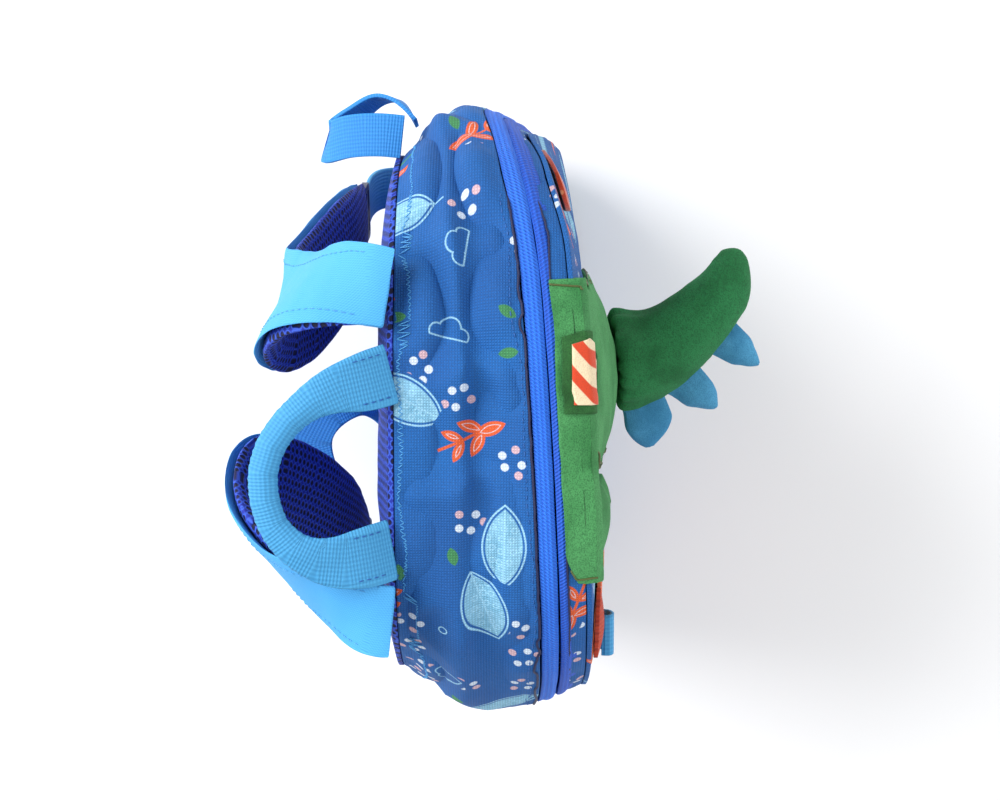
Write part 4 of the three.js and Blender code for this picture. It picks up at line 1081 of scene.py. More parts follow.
@dataclass
class Seamstress:
    """Sews rows of stitches on finished surfaces."""

    room: Workroom
    pitch: float = 3.2 * MM
    length: float = 2.3 * MM
    thick: float = 0.55 * MM
    rim_points: int = 180
    rim_layers: int = 12

    def walk(self, path: Sequence[Vector], pitch: float) -> list[Vector]:
        """Points at equal steps along a path.

        Args:
            path: The path's points.
            pitch: The step.

        Returns:
            The points.
        """
        result = [path[0].copy()]
        carry = 0.0
        for start, end in zip(path, path[1:]):
            run = (end - start).length
            place = pitch - carry
            while place < run:
                result.append(start.lerp(end, place / run))
                place += pitch
            carry = (carry + run) % pitch
        return result

    def stitch(self, shape: Shape, start: Vector, end: Vector, normal: Vector,
               thick: float) -> None:
        """Adds one stitch to a shape.

        Args:
            shape: The row's shape.
            start: Where the needle comes out.
            end: Where it goes in.
            normal: The surface's normal.
            thick: The thread's thickness.
        """
        along = (end - start).normalized()
        side = normal.cross(along).normalized()
        up = along.cross(side)
        basis = Matrix((along, side, up)).transposed().to_4x4()
        half = (end - start).length / 2
        size = Matrix.Diagonal((half, thick / 2, thick / 2, 1))
        place = Matrix.Translation((start + end) / 2 + up * thick * 0.15) @ basis @ size
        bmesh.ops.create_uvsphere(shape, u_segments=6, v_segments=5, radius=1, matrix=place)

    def row(self, name: str, surface: BVHTree, paths: Iterable[Sequence[Vector]], material: Material,
            slot: Slot, swing: float = 0.0, aside: Vector = Vector((0, 0, 1)),
            pitch: float | None = None, thick: float | None = None) -> None:
        """Sews stitches along paths, straight ones or a zigzag.

        Args:
            name: The piece's name.
            surface: The cloth that they lie on.
            paths: The paths.
            material: The thread's material.
            slot: The record's slot.
            swing: Half of a zigzag's width, or nothing for a straight row.
            aside: The direction of the zigzag's width.
            pitch: The distance between stitches.
            thick: The thread's thickness.
        """
        shape = bmesh.new()
        thread = thick or self.thick
        for path in paths:
            points = self.walk(path, pitch or self.pitch)
            if swing:
                points = [p + aside * swing * (1 if i % 2 else -1) for i, p in enumerate(points)]
            laid = [surface.find_nearest(p) for p in points]
            for first, second in zip(laid, laid[1:]):
                start, end = first[0], second[0]
                if (end - start).length < 1e-4:
                    continue
                stop = end if swing else start.lerp(end, min(self.length / (end - start).length, 1))
                self.stitch(shape, start, stop, first[1], thread)
        self.room.hand_over(name, shape, material, slot)

    def piping(self, name: str, surface: BVHTree, path: Sequence[Vector], radius: float,
               material: Material, slot: Slot, closed: bool = True) -> None:
        """Sews a thin cord of piping along a path on a surface.

        Args:
            name: The piece's name.
            surface: What it lies on.
            path: The path.
            radius: The piping's radius.
            material: Its material.
            slot: The record's slot.
            closed: Whether the path closes on itself.
        """
        points = [surface.find_nearest(p)[:2] for p in self.walk(path, 2.0 * MM)]
        places = [spot + normal * radius * 0.5 for spot, normal in points]
        shape = bmesh.new()
        rings: list[list[bmesh.types.BMEdge]] = []
        count = len(places)
        for i, place in enumerate(places):
            before = places[(i - 1) % count] if closed else places[max(i - 1, 0)]
            after = places[(i + 1) % count] if closed else places[min(i + 1, count - 1)]
            turn = (after - before).to_track_quat("Z", "X").to_matrix().to_4x4()
            made = bmesh.ops.create_circle(
                shape, segments=8, radius=radius, matrix=Matrix.Translation(place) @ turn)
            rings.append(list({edge for vert in made["verts"] for edge in vert.link_edges}))
        pairs = list(zip(rings, rings[1:])) + ([(rings[-1], rings[0])] if closed else [])
        for first, second in pairs:
            bmesh.ops.bridge_loops(shape, edges=first + second)
        if not closed:
            bmesh.ops.holes_fill(shape, edges=rings[0] + rings[-1], sides=0)
        bmesh.ops.recalc_face_normals(shape, faces=shape.faces)
        self.room.hand_over(name, shape, material, slot)

    def rim(self, node: str, tree: BVHTree) -> list[Vector]:
        """The sewn rim of a piece on the front, as a closed line seen from the front.

        Args:
            node: The piece's node.
            tree: Its surface.

        Returns:
            The line's points.
        """
        low, high = (Vector(corner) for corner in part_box(node))
        middle = (low + high) / 2
        reach = (high - low).length
        result = []
        for k in range(self.rim_points):
            angle = 2 * math.pi * k / self.rim_points
            way = Vector((math.cos(angle), 0, math.sin(angle)))
            hits = []
            for layer in range(self.rim_layers):
                start = middle + way * reach
                start.y = low.y + (high.y - low.y) * (layer + 0.5) / self.rim_layers
                spot = tree.ray_cast(start, -way)[0]
                if spot is not None:
                    hits.append(spot)
            if hits:
                result.append(max(hits, key=way.dot))
        return result


@dataclass
class Ribbon:
    """A flat band of cloth that follows its middle line."""

    stations: tuple[Station, ...]
    width: float
    steps: int = 120
    middles: list[Vector] = field(init=False)
    sides: list[Vector] = field(init=False)
    runs: list[float] = field(init=False)

    def __post_init__(self) -> None:
        """Works out the middle line and its lengths."""
        self.middles = [Vector(s[:3]) * MM for s in self.stations]
        self.sides = [Vector(s[3:]).normalized() for s in self.stations]
        self.runs = [0.0]
        for start, end in zip(self.middles, self.middles[1:]):
            self.runs.append(self.runs[-1] + (end - start).length)

    def locate(self, place: Vector) -> tuple[float, float, Vector, Vector]:
        """Where a place lies on the ribbon.

        Args:
            place: The place.

        Returns:
            How far it lies across and along the ribbon, and the middle line's point and side there.
        """
        best = (1e9, 0.0, 0.0, self.middles[0], self.sides[0])
        for i, (start, end) in enumerate(zip(self.middles, self.middles[1:])):
            run = end - start
            share = max(0.0, min(1.0, (place - start).dot(run) / run.length_squared))
            spot = start.lerp(end, share)
            gap = (place - spot).length
            if gap < best[0]:
                side = self.sides[i].lerp(self.sides[i + 1], share).normalized()
                best = (gap, (place - spot).dot(side), self.runs[i] + share * run.length, spot, side)
        return best[1], best[2], best[3], best[4]

    def edge(self, offset: float, start: float = 0.0, end: float = 1.0,
             lift: float = 0.0) -> list[Vector]:
        """A line along the ribbon, beside its middle.

        Args:
            offset: How far it lies to the side.
            start: The share of the length at which it starts.
            end: The share at which it ends.
            lift: How far it lies over the ribbon's face.

        Returns:
            Its points.
        """
        result = []
        for k in range(self.steps + 1):
            run = self.runs[-1] * (start + (end - start) * k / self.steps)
            i = max(j for j in range(len(self.runs) - 1) if self.runs[j] <= run + 1e-9)
            share = (run - self.runs[i]) / (self.runs[i + 1] - self.runs[i])
            spot = self.middles[i].lerp(self.middles[i + 1], share)
            side = self.sides[i].lerp(self.sides[i + 1], share).normalized()
            tangent = (self.middles[i + 1] - self.middles[i]).normalized()
            result.append(spot + side * offset + side.cross(tangent) * lift)
        return result


@dataclass
class Outline:
    """The seam round the bag, seen from behind."""

    height: float = 303 * MM
    half_width: float = 110 * MM
    top_radius: float = 80 * MM
    base_radius: float = 30 * MM
    lift: float = 8 * MM

    @property
    def lengths(self) -> tuple[float, float, float, float, float]:
        """The lengths of the base, its corner, the side, the top corner and the top, on one half."""
        return (
            self.half_width - self.base_radius,
            self.base_radius * math.pi / 2,
            self.height - self.top_radius - self.lift - self.base_radius,
            self.top_radius * math.pi / 2,
            self.half_width - self.top_radius,
        )

    def run(self, place: Vector) -> float:
        """How far along the outline a place lies, from the middle of the base.

        Args:
            place: The place.

        Returns:
            The length, negative on the -X side.
        """
        base, corner, side, arc, top = self.lengths
        x, z = abs(place.x), place.z
        over = z - (self.height - self.top_radius)
        under = self.lift + self.base_radius - z
        if over > 0 and x > top:
            run = base + corner + side + self.top_radius * math.atan2(over, x - top)
        elif over > 0:
            run = base + corner + side + arc + top - x
        elif under > 0 and x > base:
            run = base + self.base_radius * math.atan2(x - base, under)
        elif under > 0:
            run = x
        else:
            run = base + corner - under
        return run if place.x >= 0 else -run

    def outward(self, place: Vector) -> Vector:
        """The direction out of the bag.

        Args:
            place: A place on its bands.

        Returns:
            The direction there.
        """
        top = self.half_width - self.top_radius
        base = self.half_width - self.base_radius
        x, z = abs(place.x), place.z
        over = z - (self.height - self.top_radius)
        under = self.lift + self.base_radius - z
        if over > 0:
            way = Vector((max(x - top, 0.0), 0, over))
        elif under > 0:
            way = Vector((max(x - base, 0.0), 0, -under))
        else:
            way = Vector((1, 0, 0))
        way.x *= 1 if place.x >= 0 else -1
        return way.normalized()

    def whole(self, place: Vector) -> float:
        """The length along the outline, growing over the top from the +X side to the other."""
        run = self.run(place)
        return run if run >= 0 else 2 * sum(self.lengths) + run


@dataclass
class Shell:
    """The bag's canvas shell with its zipper and its padded back."""

    room: Workroom
    needle: Seamstress
    outline: Outline = field(default_factory=Outline)
    fold_depth: float = 4.0 * MM
    crease_depth: float = 1.6 * MM
    fold_size: float = 46 * MM
    crease_size: float = 15 * MM
    pucker_size: float = 7 * MM
    pucker_depth: float = 0.9 * MM
    pucker_start: float = 3 * MM
    pucker_end: float = 16 * MM
    valley: float = 7.5 * MM
    valley_bed: float = 0.52
    valley_width: float = 0.13
    valley_rise: tuple[float, float] = (200 * MM, 290 * MM)
    placket: float = 4.2 * MM
    placket_lift: float = 1.5 * MM
    hem: float = 9 * MM
    topstitch: float = 3.4 * MM
    tape_width: float = 7.6 * MM
    quilt_lines: tuple[float, ...] = (-0.42, 0.0, 0.42)
    quilt_depth: float = 3.0 * MM
    slices: int = 120
    zip_start: float = 0.19
    surfaces: dict[str, BVHTree] = field(default_factory=dict)

    def limits(self, shape: Shape) -> list[tuple[float, float]]:
        """The lowest and highest y of a band in each slice along the outline.

        Args:
            shape: The band.

        Returns:
            The limits in order.
        """
        total = 2 * sum(self.outline.lengths)
        result: list[list[float]] = [[] for _ in range(self.slices)]
        for vertex in shape.verts:
            result[int(self.outline.whole(vertex.co) / total * (self.slices - 0.01))].append(vertex.co.y)
        known = [(min(ys), max(ys)) if ys else None for ys in result]
        filled: list[tuple[float, float]] = []
        last = next(limit for limit in known if limit)
        for limit in known:
            last = limit or last
            filled.append(last)
        smooth = []
        for i in range(self.slices):
            near = filled[max(i - 2, 0):i + 3]
            smooth.append((sum(p[0] for p in near) / len(near), sum(p[1] for p in near) / len(near)))
        return smooth

    def edges(self, limits: list[tuple[float, float]], place: Vector) -> tuple[float, float]:
        """The lowest and highest y of a band beside a place.

        Args:
            limits: The band's limits.
            place: The place.

        Returns:
            The two edges.
        """
        spot = self.outline.whole(place) / (2 * sum(self.outline.lengths)) * self.slices - 0.5
        i = max(0, min(self.slices - 2, int(spot)))
        share = max(0.0, min(1.0, spot - i))
        first, second = limits[i], limits[i + 1]
        return first[0] + (second[0] - first[0]) * share, first[1] + (second[1] - first[1]) * share

    def lap(self, shape: Shape, reach: float, rise: float) -> None:
        """Lays the zipper's edge of the front band over the tape, as a placket does.

        Args:
            shape: The band.
            reach: How far it laps over the tape.
            rise: How high its edge lies over the tape.
        """
        limits = self.limits(shape)
        for vertex in shape.verts:
            low, high = self.edges(limits, vertex.co)
            share = ease(vertex.co.y, low, high)
            vertex.co += self.outline.outward(vertex.co) * rise * share
            vertex.co.y += reach * share

    def band(self, node: str, levels: int, material: Material, slot: Slot, seed: float,
             depth: float) -> list[tuple[float, float]]:
        """Dresses one band of the shell.

        Args:
            node: The band's node.
            levels: How fine it gets.
            material: Its material.
            slot: The record's slot.
            seed: Which folds it has.
            depth: How deep its folds are.

        Returns:
            The lowest and highest y along the outline.
        """
        shape = self.room.cut(node)
        if node == "gusset_front":
            self.lap(shape, self.placket, self.placket_lift)
        shape = self.room.refine(shape, levels)
        limits = self.limits(shape)

        def lift(place: Vector) -> float:
            """The fold's height.

            Args:
                place: A place on the band.

            Returns:
                The height there.
            """
            low, high = self.edges(limits, place)
            rim = min(place.y - low, high - place.y)
            free = ease(rim, 0.0, self.hem)
            wide = Vector((place.x, place.y * 1.6, place.z))
            deep = abs(ripple(wide, self.fold_size, seed)) * 2 - 0.7
            fine = ripple(place, self.crease_size, seed + 5)
            pucker = ripple(Vector((place.x, place.y * 0.2, place.z)), self.pucker_size, seed + 9)
            seam = ease(rim, 0.0, self.pucker_start)
            seam *= 1 - ease(rim, self.pucker_start, self.pucker_end)
            share = (place.y - low) / max(high - low, 1e-6)
            sideways = Vector((place.x, 0, 0))
            bed = self.valley_bed + self.valley_width * ripple(sideways, 60 * MM, seed + 3)
            valley = math.exp(-(((share - bed) / self.valley_width) ** 2))
            valley *= ease(place.z, *self.valley_rise)
            sunk = valley * self.valley * (0.75 + 0.5 * ripple(sideways, 35 * MM, seed))
            soft = depth * deep + self.crease_depth * fine * 0.6 - (sunk if depth > 1 * MM else 0.0)
            return free * soft + seam * pucker * self.pucker_depth

        if depth:
            self.room.fold(shape, lift)
        self.surfaces[node] = self.room.dress(
            node + "_cloth", node, shape, lambda place, normal: (self.outline.whole(place), place.y),
            material, slot)
        return limits

    def panel(self, node: str, material: Material, slot: Slot, seed: float, depth: float,
              fill: float | None = None) -> None:
        """Dresses a panel that closes the bag.

        Args:
            node: The panel's node.
            material: Its material.
            slot: The record's slot.
            seed: Which folds it has.
            depth: How deep they are.
            fill: How full it is where it is padded.
        """
        shape = self.room.refine(self.room.cut(node), 3)
        low, high = (Vector(corner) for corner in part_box(node))
        middle, half = (low + high) / 2, (high - low) / 2

        def lift(place: Vector) -> float:
            """The fold's height.

            Args:
                place: A place on the panel.

            Returns:
                The height there.
            """
            share = math.hypot((place.x - middle.x) / half.x, (place.z - middle.z) / half.z)
            free = 1 - ease(share, 0.8, 0.97)
            quilt = 0.0
            if fill is not None:
                for line in self.quilt_lines:
                    gap = abs((place.z - middle.z) / half.z - line) * half.z
                    quilt -= (1 - ease(gap, 0.0, 7 * MM)) * self.quilt_depth
            fine = self.crease_depth * 0.5 * ripple(place, 17 * MM, seed)
            return free * (depth * ripple(place, 60 * MM, seed) + fine + quilt)

        self.room.fold(shape, lift)
        self.surfaces[node] = self.room.dress(
            node + "_cloth", node, shape, lambda place, normal: (place.x, place.z - place.y),
            material, slot, fill)

    def base(self, material: Material) -> None:
        """Dresses the flat base."""
        shape = self.room.refine(self.room.cut("base_panel"), 2)
        self.room.fold(
            shape, lambda place: 0.5 * MM * ripple(place, 20 * MM, 3.0) if place.z > 2 * MM else 0.0)
        self.surfaces["base_panel"] = self.room.dress(
            "base_cloth", "base_panel", shape, lambda place, normal: (self.outline.run(place), place.y),
            material, Slot.PRINT)

    def tape(self, node: str, material: Material, toward_slit: int) -> None:
        """Dresses one tape of the zipper, with its ridge beside the slit.

        Args:
            node: The tape's node.
            material: Its material.
            toward_slit: 1 if the slit is at its high y, or -1.
        """
        shape = self.room.cut(node)
        shape = self.room.refine(shape, 3, crease=0.95)
        limits = self.limits(shape)

        def across(place: Vector) -> float:
            """How far a place lies from the slit.

            Args:
                place: The place.

            Returns:
                The distance as a share of the tape.
            """
            low, high = self.edges(limits, place)
            share = (place.y - low) / max(high - low, 1e-6)
            return 1 - share if toward_slit > 0 else share

        def lift(place: Vector) -> float:
            """The ridge's height.

            Args:
                place: A place on the tape.

            Returns:
                The height there.
            """
            share = across(place)
            crown = math.sin(math.pi * max(0.0, min(1.0, (share - 0.02) / 0.62))) ** 0.7
            weave = ripple(place, 9 * MM, 2.0) * 0.12 * MM
            slit = 0.5 * MM * (1 - ease(share, 0.0, 0.06))
            return 0.9 * MM * crown - slit + weave - 0.7 * MM * ease(share, 0.86, 1)

        self.room.fold(shape, lift)
        self.surfaces[node] = self.room.dress(
            node + "_knit", node, shape,
            lambda place, normal: (across(place) * self.tape_width, self.outline.whole(place)),
            material, Slot.ZIP)

    def seam_path(self, limits: list[tuple[float, float]], pick: int, offset: float) -> list[Vector]:
        """A line along the bag, beside an edge of a band.

        Args:
            limits: The band's limits.
            pick: 0 for its low y, or 1 for its high y.
            offset: How far the line lies from the edge towards +Y.

        Returns:
            Its points, on the plain outline.
        """
        outline = self.outline
        base, corner, side, arc, top = outline.lengths
        total = 2 * sum(outline.lengths)
        result: list[Vector] = []
        for i in range(self.slices):
            share = (i + 0.5) / self.slices
            if not self.zip_start < share < 1 - self.zip_start:
                continue
            run = share * total
            mirror = 1 if run <= total / 2 else -1
            way = run if mirror > 0 else total - run
            y = limits[i][pick] + offset
            rise = way - base - corner
            if rise < side:
                spot = Vector((outline.half_width + 14 * MM, y,
                               outline.lift + outline.base_radius + rise))
            elif rise < side + arc:
                angle = (rise - side) / outline.top_radius
                reach = outline.top_radius + 8 * MM
                spot = Vector((top + reach * math.cos(angle), y,
                               outline.height - outline.top_radius + reach * math.sin(angle)))
            else:
                spot = Vector((top - (rise - side - arc), y, outline.height + 4 * MM))
            spot.x *= mirror
            result.append(spot)
        return result

    def make(self, kit: "Kit") -> None:
        """Builds and dresses the shell.

        Args:
            kit: The materials.
        """
        back = self.band("gusset_back", 3, kit.canvas, Slot.PRINT, 1.3, self.fold_depth)
        front = self.band("gusset_front", 3, kit.canvas, Slot.PRINT, 7.1, 0.4 * MM)
        self.tape("zip_tape_back", kit.tape, -1)
        self.tape("zip_tape_front", kit.tape_shaded, 1)
        self.base(kit.canvas)
        self.panel("front_panel", kit.canvas, Slot.PRINT, 4.0, 1.4 * MM)
        self.panel("back_panel", kit.spacer, Slot.MESH, 6.0, 0.8 * MM, 0.7)
        cloth = self.surfaces["gusset_back"]
        rows = [self.seam_path(back, 0, self.topstitch)]
        self.needle.row("zipper_topstitch", cloth, rows, kit.blue_thread, Slot.PRINT)
        rows = [self.seam_path(back, 1, -2.0 * MM)]
        self.needle.row("back_seam_overlock", cloth, rows, kit.pale_thread, Slot.WEBBING, swing=1.2 * MM,
                        aside=Vector((0, 1, 0)), pitch=1.2 * MM, thick=0.45 * MM)
        # Painted shadow: near-black cords laid along both edges of the zipper stand in for the shade in its
        # grooves.
        for name, surface, path, radius in (
                ("zipper_back_painted_shadow", cloth, self.seam_path(back, 0, 0.3 * MM), 0.5 * MM),
                ("zipper_front_painted_shadow", self.surfaces["gusset_front"], self.seam_path(front, 1, -0.2 * MM),
                 0.45 * MM)):
            self.needle.piping(name, surface, path, radius, kit.zip_groove_shadow, Slot.PRINT, closed=False)


@dataclass
class Straps:
    """The shoulder straps, the carrying handle and the loops."""

    room: Workroom
    needle: Seamstress
    inset: float = 3.2 * MM
    strap_width: float = 50 * MM
    webbing_width: float = 20 * MM
    handle_width: float = 23 * MM
    loop_width: float = 17 * MM
    columns: int = 5
    strap_shares: tuple[float, ...] = (0.58, 0.6, 0.68, 0.78, 0.88, 0.97, 1.0, 1.0, 1.0, 0.92, 0.66)

    def ribbon(self, node: str, ribbon: Ribbon, material: Material, levels: int = 2) -> BVHTree:
        """Dresses a ribbon of webbing.

        Args:
            node: Its node.
            ribbon: Its middle line.
            material: Its material.
            levels: How fine it gets.

        Returns:
            Its surface.
        """
        shape = self.room.cut(node)
        wide = [e for e in shape.edges
                if self.runs_across(e, ribbon) and e.calc_length() > ribbon.width * 0.3]
        bmesh.ops.subdivide_edges(shape, edges=wide, cuts=self.columns - 1, use_grid_fill=True)
        shape = self.room.refine(shape, levels, sharp=55, crease=0.9)
        if node == "handle":
            self.room.fold(shape, lambda place: self.folded(ribbon, place))
        return self.room.dress(
            node + "_woven", node, shape, lambda place, normal: ribbon.locate(place)[:2],
            material, Slot.WEBBING)

    def folded(self, ribbon: Ribbon, place: Vector) -> float:
        """How far the folded grip of the handle swells.

        Args:
            ribbon: The handle's middle line.
            place: Where it is read.

        Returns:
            The swelling's height.
        """
        side, run, _, _ = ribbon.locate(place)
        share = run / ribbon.runs[-1]
        grip = ease(share, 0.14, 0.3) * (1 - ease(share, 0.7, 0.86))
        rope = math.sin(run / MM * 2.2 + side / MM) * 0.15
        return grip * (1.5 * math.exp(-((side / MM / 3.6) ** 2)) + rope) * MM

    def runs_across(self, edge: bmesh.types.BMEdge, ribbon: Ribbon) -> bool:
        """Whether an edge lies across its ribbon.

        Args:
            edge: The edge.
            ribbon: Its ribbon.

        Returns:
            True if it does.
        """
        middle = (edge.verts[0].co + edge.verts[1].co) / 2
        along = (edge.verts[1].co - edge.verts[0].co).normalized()
        return abs(along.dot(ribbon.locate(middle)[3])) > 0.8

    def layer(self, node: str, ribbon: Ribbon, material: Material, slot: Slot, seed: float,
              depth: float, fill: float | None) -> BVHTree:
        """Dresses one layer of a shoulder strap.

        Args:
            node: Its node.
            ribbon: The strap's middle line.
            material: Its material.
            slot: The record's slot.
            seed: Which folds it has.
            depth: How deep they are.
            fill: How full it is where it is padded.

        Returns:
            Its surface.
        """
        shape = self.room.refine(self.room.cut(node), 3, sharp=60, crease=0.5)

        def lift(place: Vector) -> float:
            """The fold's height.

            Args:
                place: A place on the strap.

            Returns:
                The height there.
            """
            side, run, _, _ = ribbon.locate(place)
            root = 1 - ease(run, 0.0, 40 * MM)
            bend = ripple(Vector((side * 0.6, run, seed)), 16 * MM, seed)
            return depth * (bend * (0.5 + root) + 0.4 * ripple(place, 8 * MM, seed))

        self.room.fold(shape, lift)
        return self.room.dress(
            node + "_cloth", node, shape, lambda place, normal: ribbon.locate(place)[:2],
            material, slot, fill)

    def strap(self, name: str, stations: tuple[Station, ...], kit: "Kit") -> None:
        """Builds one shoulder strap.

        Args:
            name: right or left.
            stations: Its middle line.
            kit: The materials.
        """
        ribbon = Ribbon(stations, self.strap_width)
        cover = self.layer("strap_cover_" + name, ribbon, kit.twill, Slot.TWILL, 2.0, 0.7 * MM, None)
        self.layer("strap_pad_" + name, ribbon, kit.spacer, Slot.MESH, 5.0, 0.5 * MM, 0.6)
        turn = 1 if name == "right" else -1
        rows = [[self.beside(ribbon, place, sign, turn) for place in range(4, 97)] for sign in (-1, 1)]
        self.needle.row("strap_stitches_" + name, cover, rows, kit.pale_thread, Slot.TWILL)

    def beside(self, ribbon: Ribbon, percent: int, sign: int, turn: int) -> Vector:
        """A point near a strap's edge, over its cover.

        Args:
            ribbon: The strap's middle line.
            percent: How far along the strap it lies.
            sign: Which edge it lies beside, 1 or -1.
            turn: Which way the cover faces, 1 or -1.

        Returns:
            The point.
        """
        share = percent / 100
        widths = self.strap_shares
        place = share * (len(widths) - 1)
        i = min(int(place), len(widths) - 2)
        half = ribbon.width / 2 * (widths[i] + (widths[i + 1] - widths[i]) * (place - i))
        return ribbon.edge(sign * (half - self.inset), share, share + 1e-4, 5 * MM * turn)[0]

    def make(self, kit: "Kit") -> None:
        """Builds the straps, the webbing, the handle and the loops.

        Args:
            kit: The materials.
        """
        self.strap("right", STRAP_RIGHT, kit)
        self.strap("left", STRAP_LEFT, kit)
        self.ribbon("webbing_right", Ribbon(WEBBING_RIGHT, self.webbing_width), kit.webbing)
        # The left webbing takes a darker copy of the webbing, painted shade for the shadow it lies in.
        self.ribbon("webbing_left", Ribbon(WEBBING_LEFT, self.webbing_width), kit.webbing_shaded)
        grip = Ribbon(HANDLE, self.handle_width)
        cloth = self.ribbon("handle", grip, kit.webbing)
        box = [grip.edge(offset, start, end, -2 * MM) for offset in (-8 * MM, 8 * MM)
               for start, end in ((0.02, 0.12), (0.88, 0.98))]
        self.needle.row("handle_stitches", cloth, box, kit.blue_thread, Slot.WEBBING)
        self.ribbon("side_loop", Ribbon(SIDE_LOOP, self.loop_width), kit.webbing_bright)
        self.ribbon("front_tab", Ribbon(FRONT_TAB, self.loop_width), kit.webbing, 1)


@dataclass
class Animal:
    """The stuffed animal on the front, with its patch, tail and spikes."""

    room: Workroom
    needle: Seamstress
    shell: Shell
    piping: float = 0.5 * MM
    spike_seat: float = 0.6 * MM
    yoke_low: float = -49 * MM
    yoke_high: float = 63 * MM
    yoke_puff: float = 1.4 * MM
    yoke_taper: tuple[tuple[float, float, float], ...] = ((-12, -8, 300), (-49, -27, 300))
    yoke_drops: tuple[tuple[float, float, float], ...] = ((0, -3.5, -0.8), (0, -3.0, -5.0))
    patch_corners: tuple[tuple[float, float], ...] = ((15, 2), (43, 2), (46, 13), (34, 36), (14, 28))
    patch_rim: float = 3.4 * MM
    patch_seat: float = 0.35
    felt: float = 1.3 * MM
    tail_root: tuple[float, float] = (23.5 * MM, 190 * MM)
    line_start: float = 12.0
    line_gap: float = 2.2
    line_count: int = 16
    line_axis: tuple[float, float] = (-12 * MM, 270 * MM)
    body_stuffing: Stuffing = Stuffing(2.6 * MM, 2.0)
    tail_stuffing: Stuffing = Stuffing(3.5 * MM, 2.5)
    body_waves: tuple[tuple[float, float], ...] = ((0.8, 24.0), (0.3, 9.0))
    yoke_waves: tuple[Wave, ...] = (Wave(0.6, 20.0, 3.0), Wave(0.3, 8.0, 2.0))
    tail_waves: tuple[Wave, ...] = (Wave(0.9, 22.0, 5.0), Wave(0.35, 8.0, 2.0))
    spike_wave: Wave = Wave(0.3, 6.0, 4.0)
    ground: BVHTree | None = None

    def sewn_down(self, place: Vector, normal: Vector) -> float:
        """How firmly a piece on the front is sewn: fully at its back, whatever the place."""
        return 1.0 if normal.y > 0.2 else 0.0

    def body(self, kit: "Kit") -> None:
        """Builds the animal's body and leg, and keeps the surface that the patch lies on.

        Args:
            kit: The materials.
        """
        under = self.yoke(kit)
        for node, seed in (("plush_body", 3.0), ("plush_leg", 8.0)):
            shape = self.room.refine(self.room.cut(node), 2, sharp=60, crease=0.6)
            if node == "plush_body":
                shape = self.room.stuff(shape, self.body_stuffing, self.sewn_down)
            waves = [Wave(depth, size, seed) for depth, size in self.body_waves]
            self.room.fold(shape, lambda place: sum(wave.at(place) for wave in waves))
            tree = BVHTree.FromBMesh(shape)
            if node == "plush_body":
                mesh = bpy.data.meshes.new("draft")
                shape.to_mesh(mesh)
                under.from_mesh(mesh)
                bpy.data.meshes.remove(mesh)
            self.room.hand_over(node + "_stuffed", shape, kit.plush, Slot.GREEN, [node], 0.5)
            if node == "plush_body":
                self.needle.piping("body_piping", tree, self.needle.rim(node, tree), self.piping,
                                   kit.olive, Slot.BORDER)
        self.ground = BVHTree.FromBMesh(under)
        under.free()

    def yoke(self, kit: "Kit") -> Shape:
        """Builds the body's upper part, which lies over the front band up to the zipper.

        Args:
            kit: The materials.

        Returns:
            A copy of its shape.
        """
        shape = self.room.cut("gusset_front")
        self.shell.lap(shape, self.shell.placket, self.shell.placket_lift)
        for place, normal in ((self.yoke_high, 1), (self.yoke_low, -1)):
            self.room.trim(shape, Vector((place, 0, 0)), Vector((normal, 0, 0)))
        start, end = (Vector(corner) * MM for corner in self.yoke_taper)
        self.room.trim(shape, start, (end - start).cross(Vector((0, 0, 1))).normalized())
        bmesh.ops.holes_fill(shape, edges=[e for e in shape.edges if e.is_boundary], sides=0)
        for reach in self.yoke_drops:
            shape.normal_update()
            front = [f for f in shape.faces if f.normal.y < -0.6]
            made = bmesh.ops.extrude_face_region(shape, geom=front)
            moved = [item for item in made["geom"] if isinstance(item, bmesh.types.BMVert)]
            bmesh.ops.translate(shape, verts=moved, vec=Vector(reach) * MM)
        bmesh.ops.recalc_face_normals(shape, faces=shape.faces)
        self.room.fold(shape, lambda place: self.yoke_puff)
        shape = self.room.refine(shape, 4, sharp=60, crease=0.7)
        self.room.fold(shape, lambda place: sum(wave.at(place) for wave in self.yoke_waves))
        tree = BVHTree.FromBMesh(shape)
        low = min(v.co.y for v in shape.verts)
        copy = shape.copy()
        self.room.hand_over("body_yoke", shape, kit.plush, Slot.GREEN, fill=0.3)
        for name, x in (("yoke_piping_high", self.yoke_high), ("yoke_piping_low", self.yoke_low)):
            path = [Vector((x, low + 22 * MM - k * 2 * MM, 304 * MM)) for k in range(12)]
            self.needle.piping(name, tree, path, self.piping * 0.8, kit.olive, Slot.BORDER, closed=False)
        return copy

    def tail(self, kit: "Kit") -> None:
        """Builds the stuffed tail and its felt spikes.

        Args:
            kit: The materials.
        """
        low, high = (Vector(corner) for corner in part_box("tail"))
        shape = self.room.refine(self.room.cut("tail"), 2, sharp=70, crease=0.3)
        root = high.y - 5 * MM

        def sewn(place: Vector, normal: Vector) -> float:
            """The tail is sewn at its root."""
            return 1.0 if place.y > root else 0.0

        shape = self.room.stuff(shape, self.tail_stuffing, sewn)

        def lift(place: Vector) -> float:
            """The height of the tail's puckers and soft dents.

            Args:
                place: A place on the tail.

            Returns:
                The height there.
            """
            near = 1 - ease(high.y - place.y, 3 * MM, 26 * MM)
            angle = math.atan2(place.z - self.tail_root[1], place.x - self.tail_root[0])
            pucker = math.sin(angle * 13 + 2 * math.sin(angle * 3)) * 0.7 * MM * near
            return pucker + sum(wave.at(place) for wave in self.tail_waves)

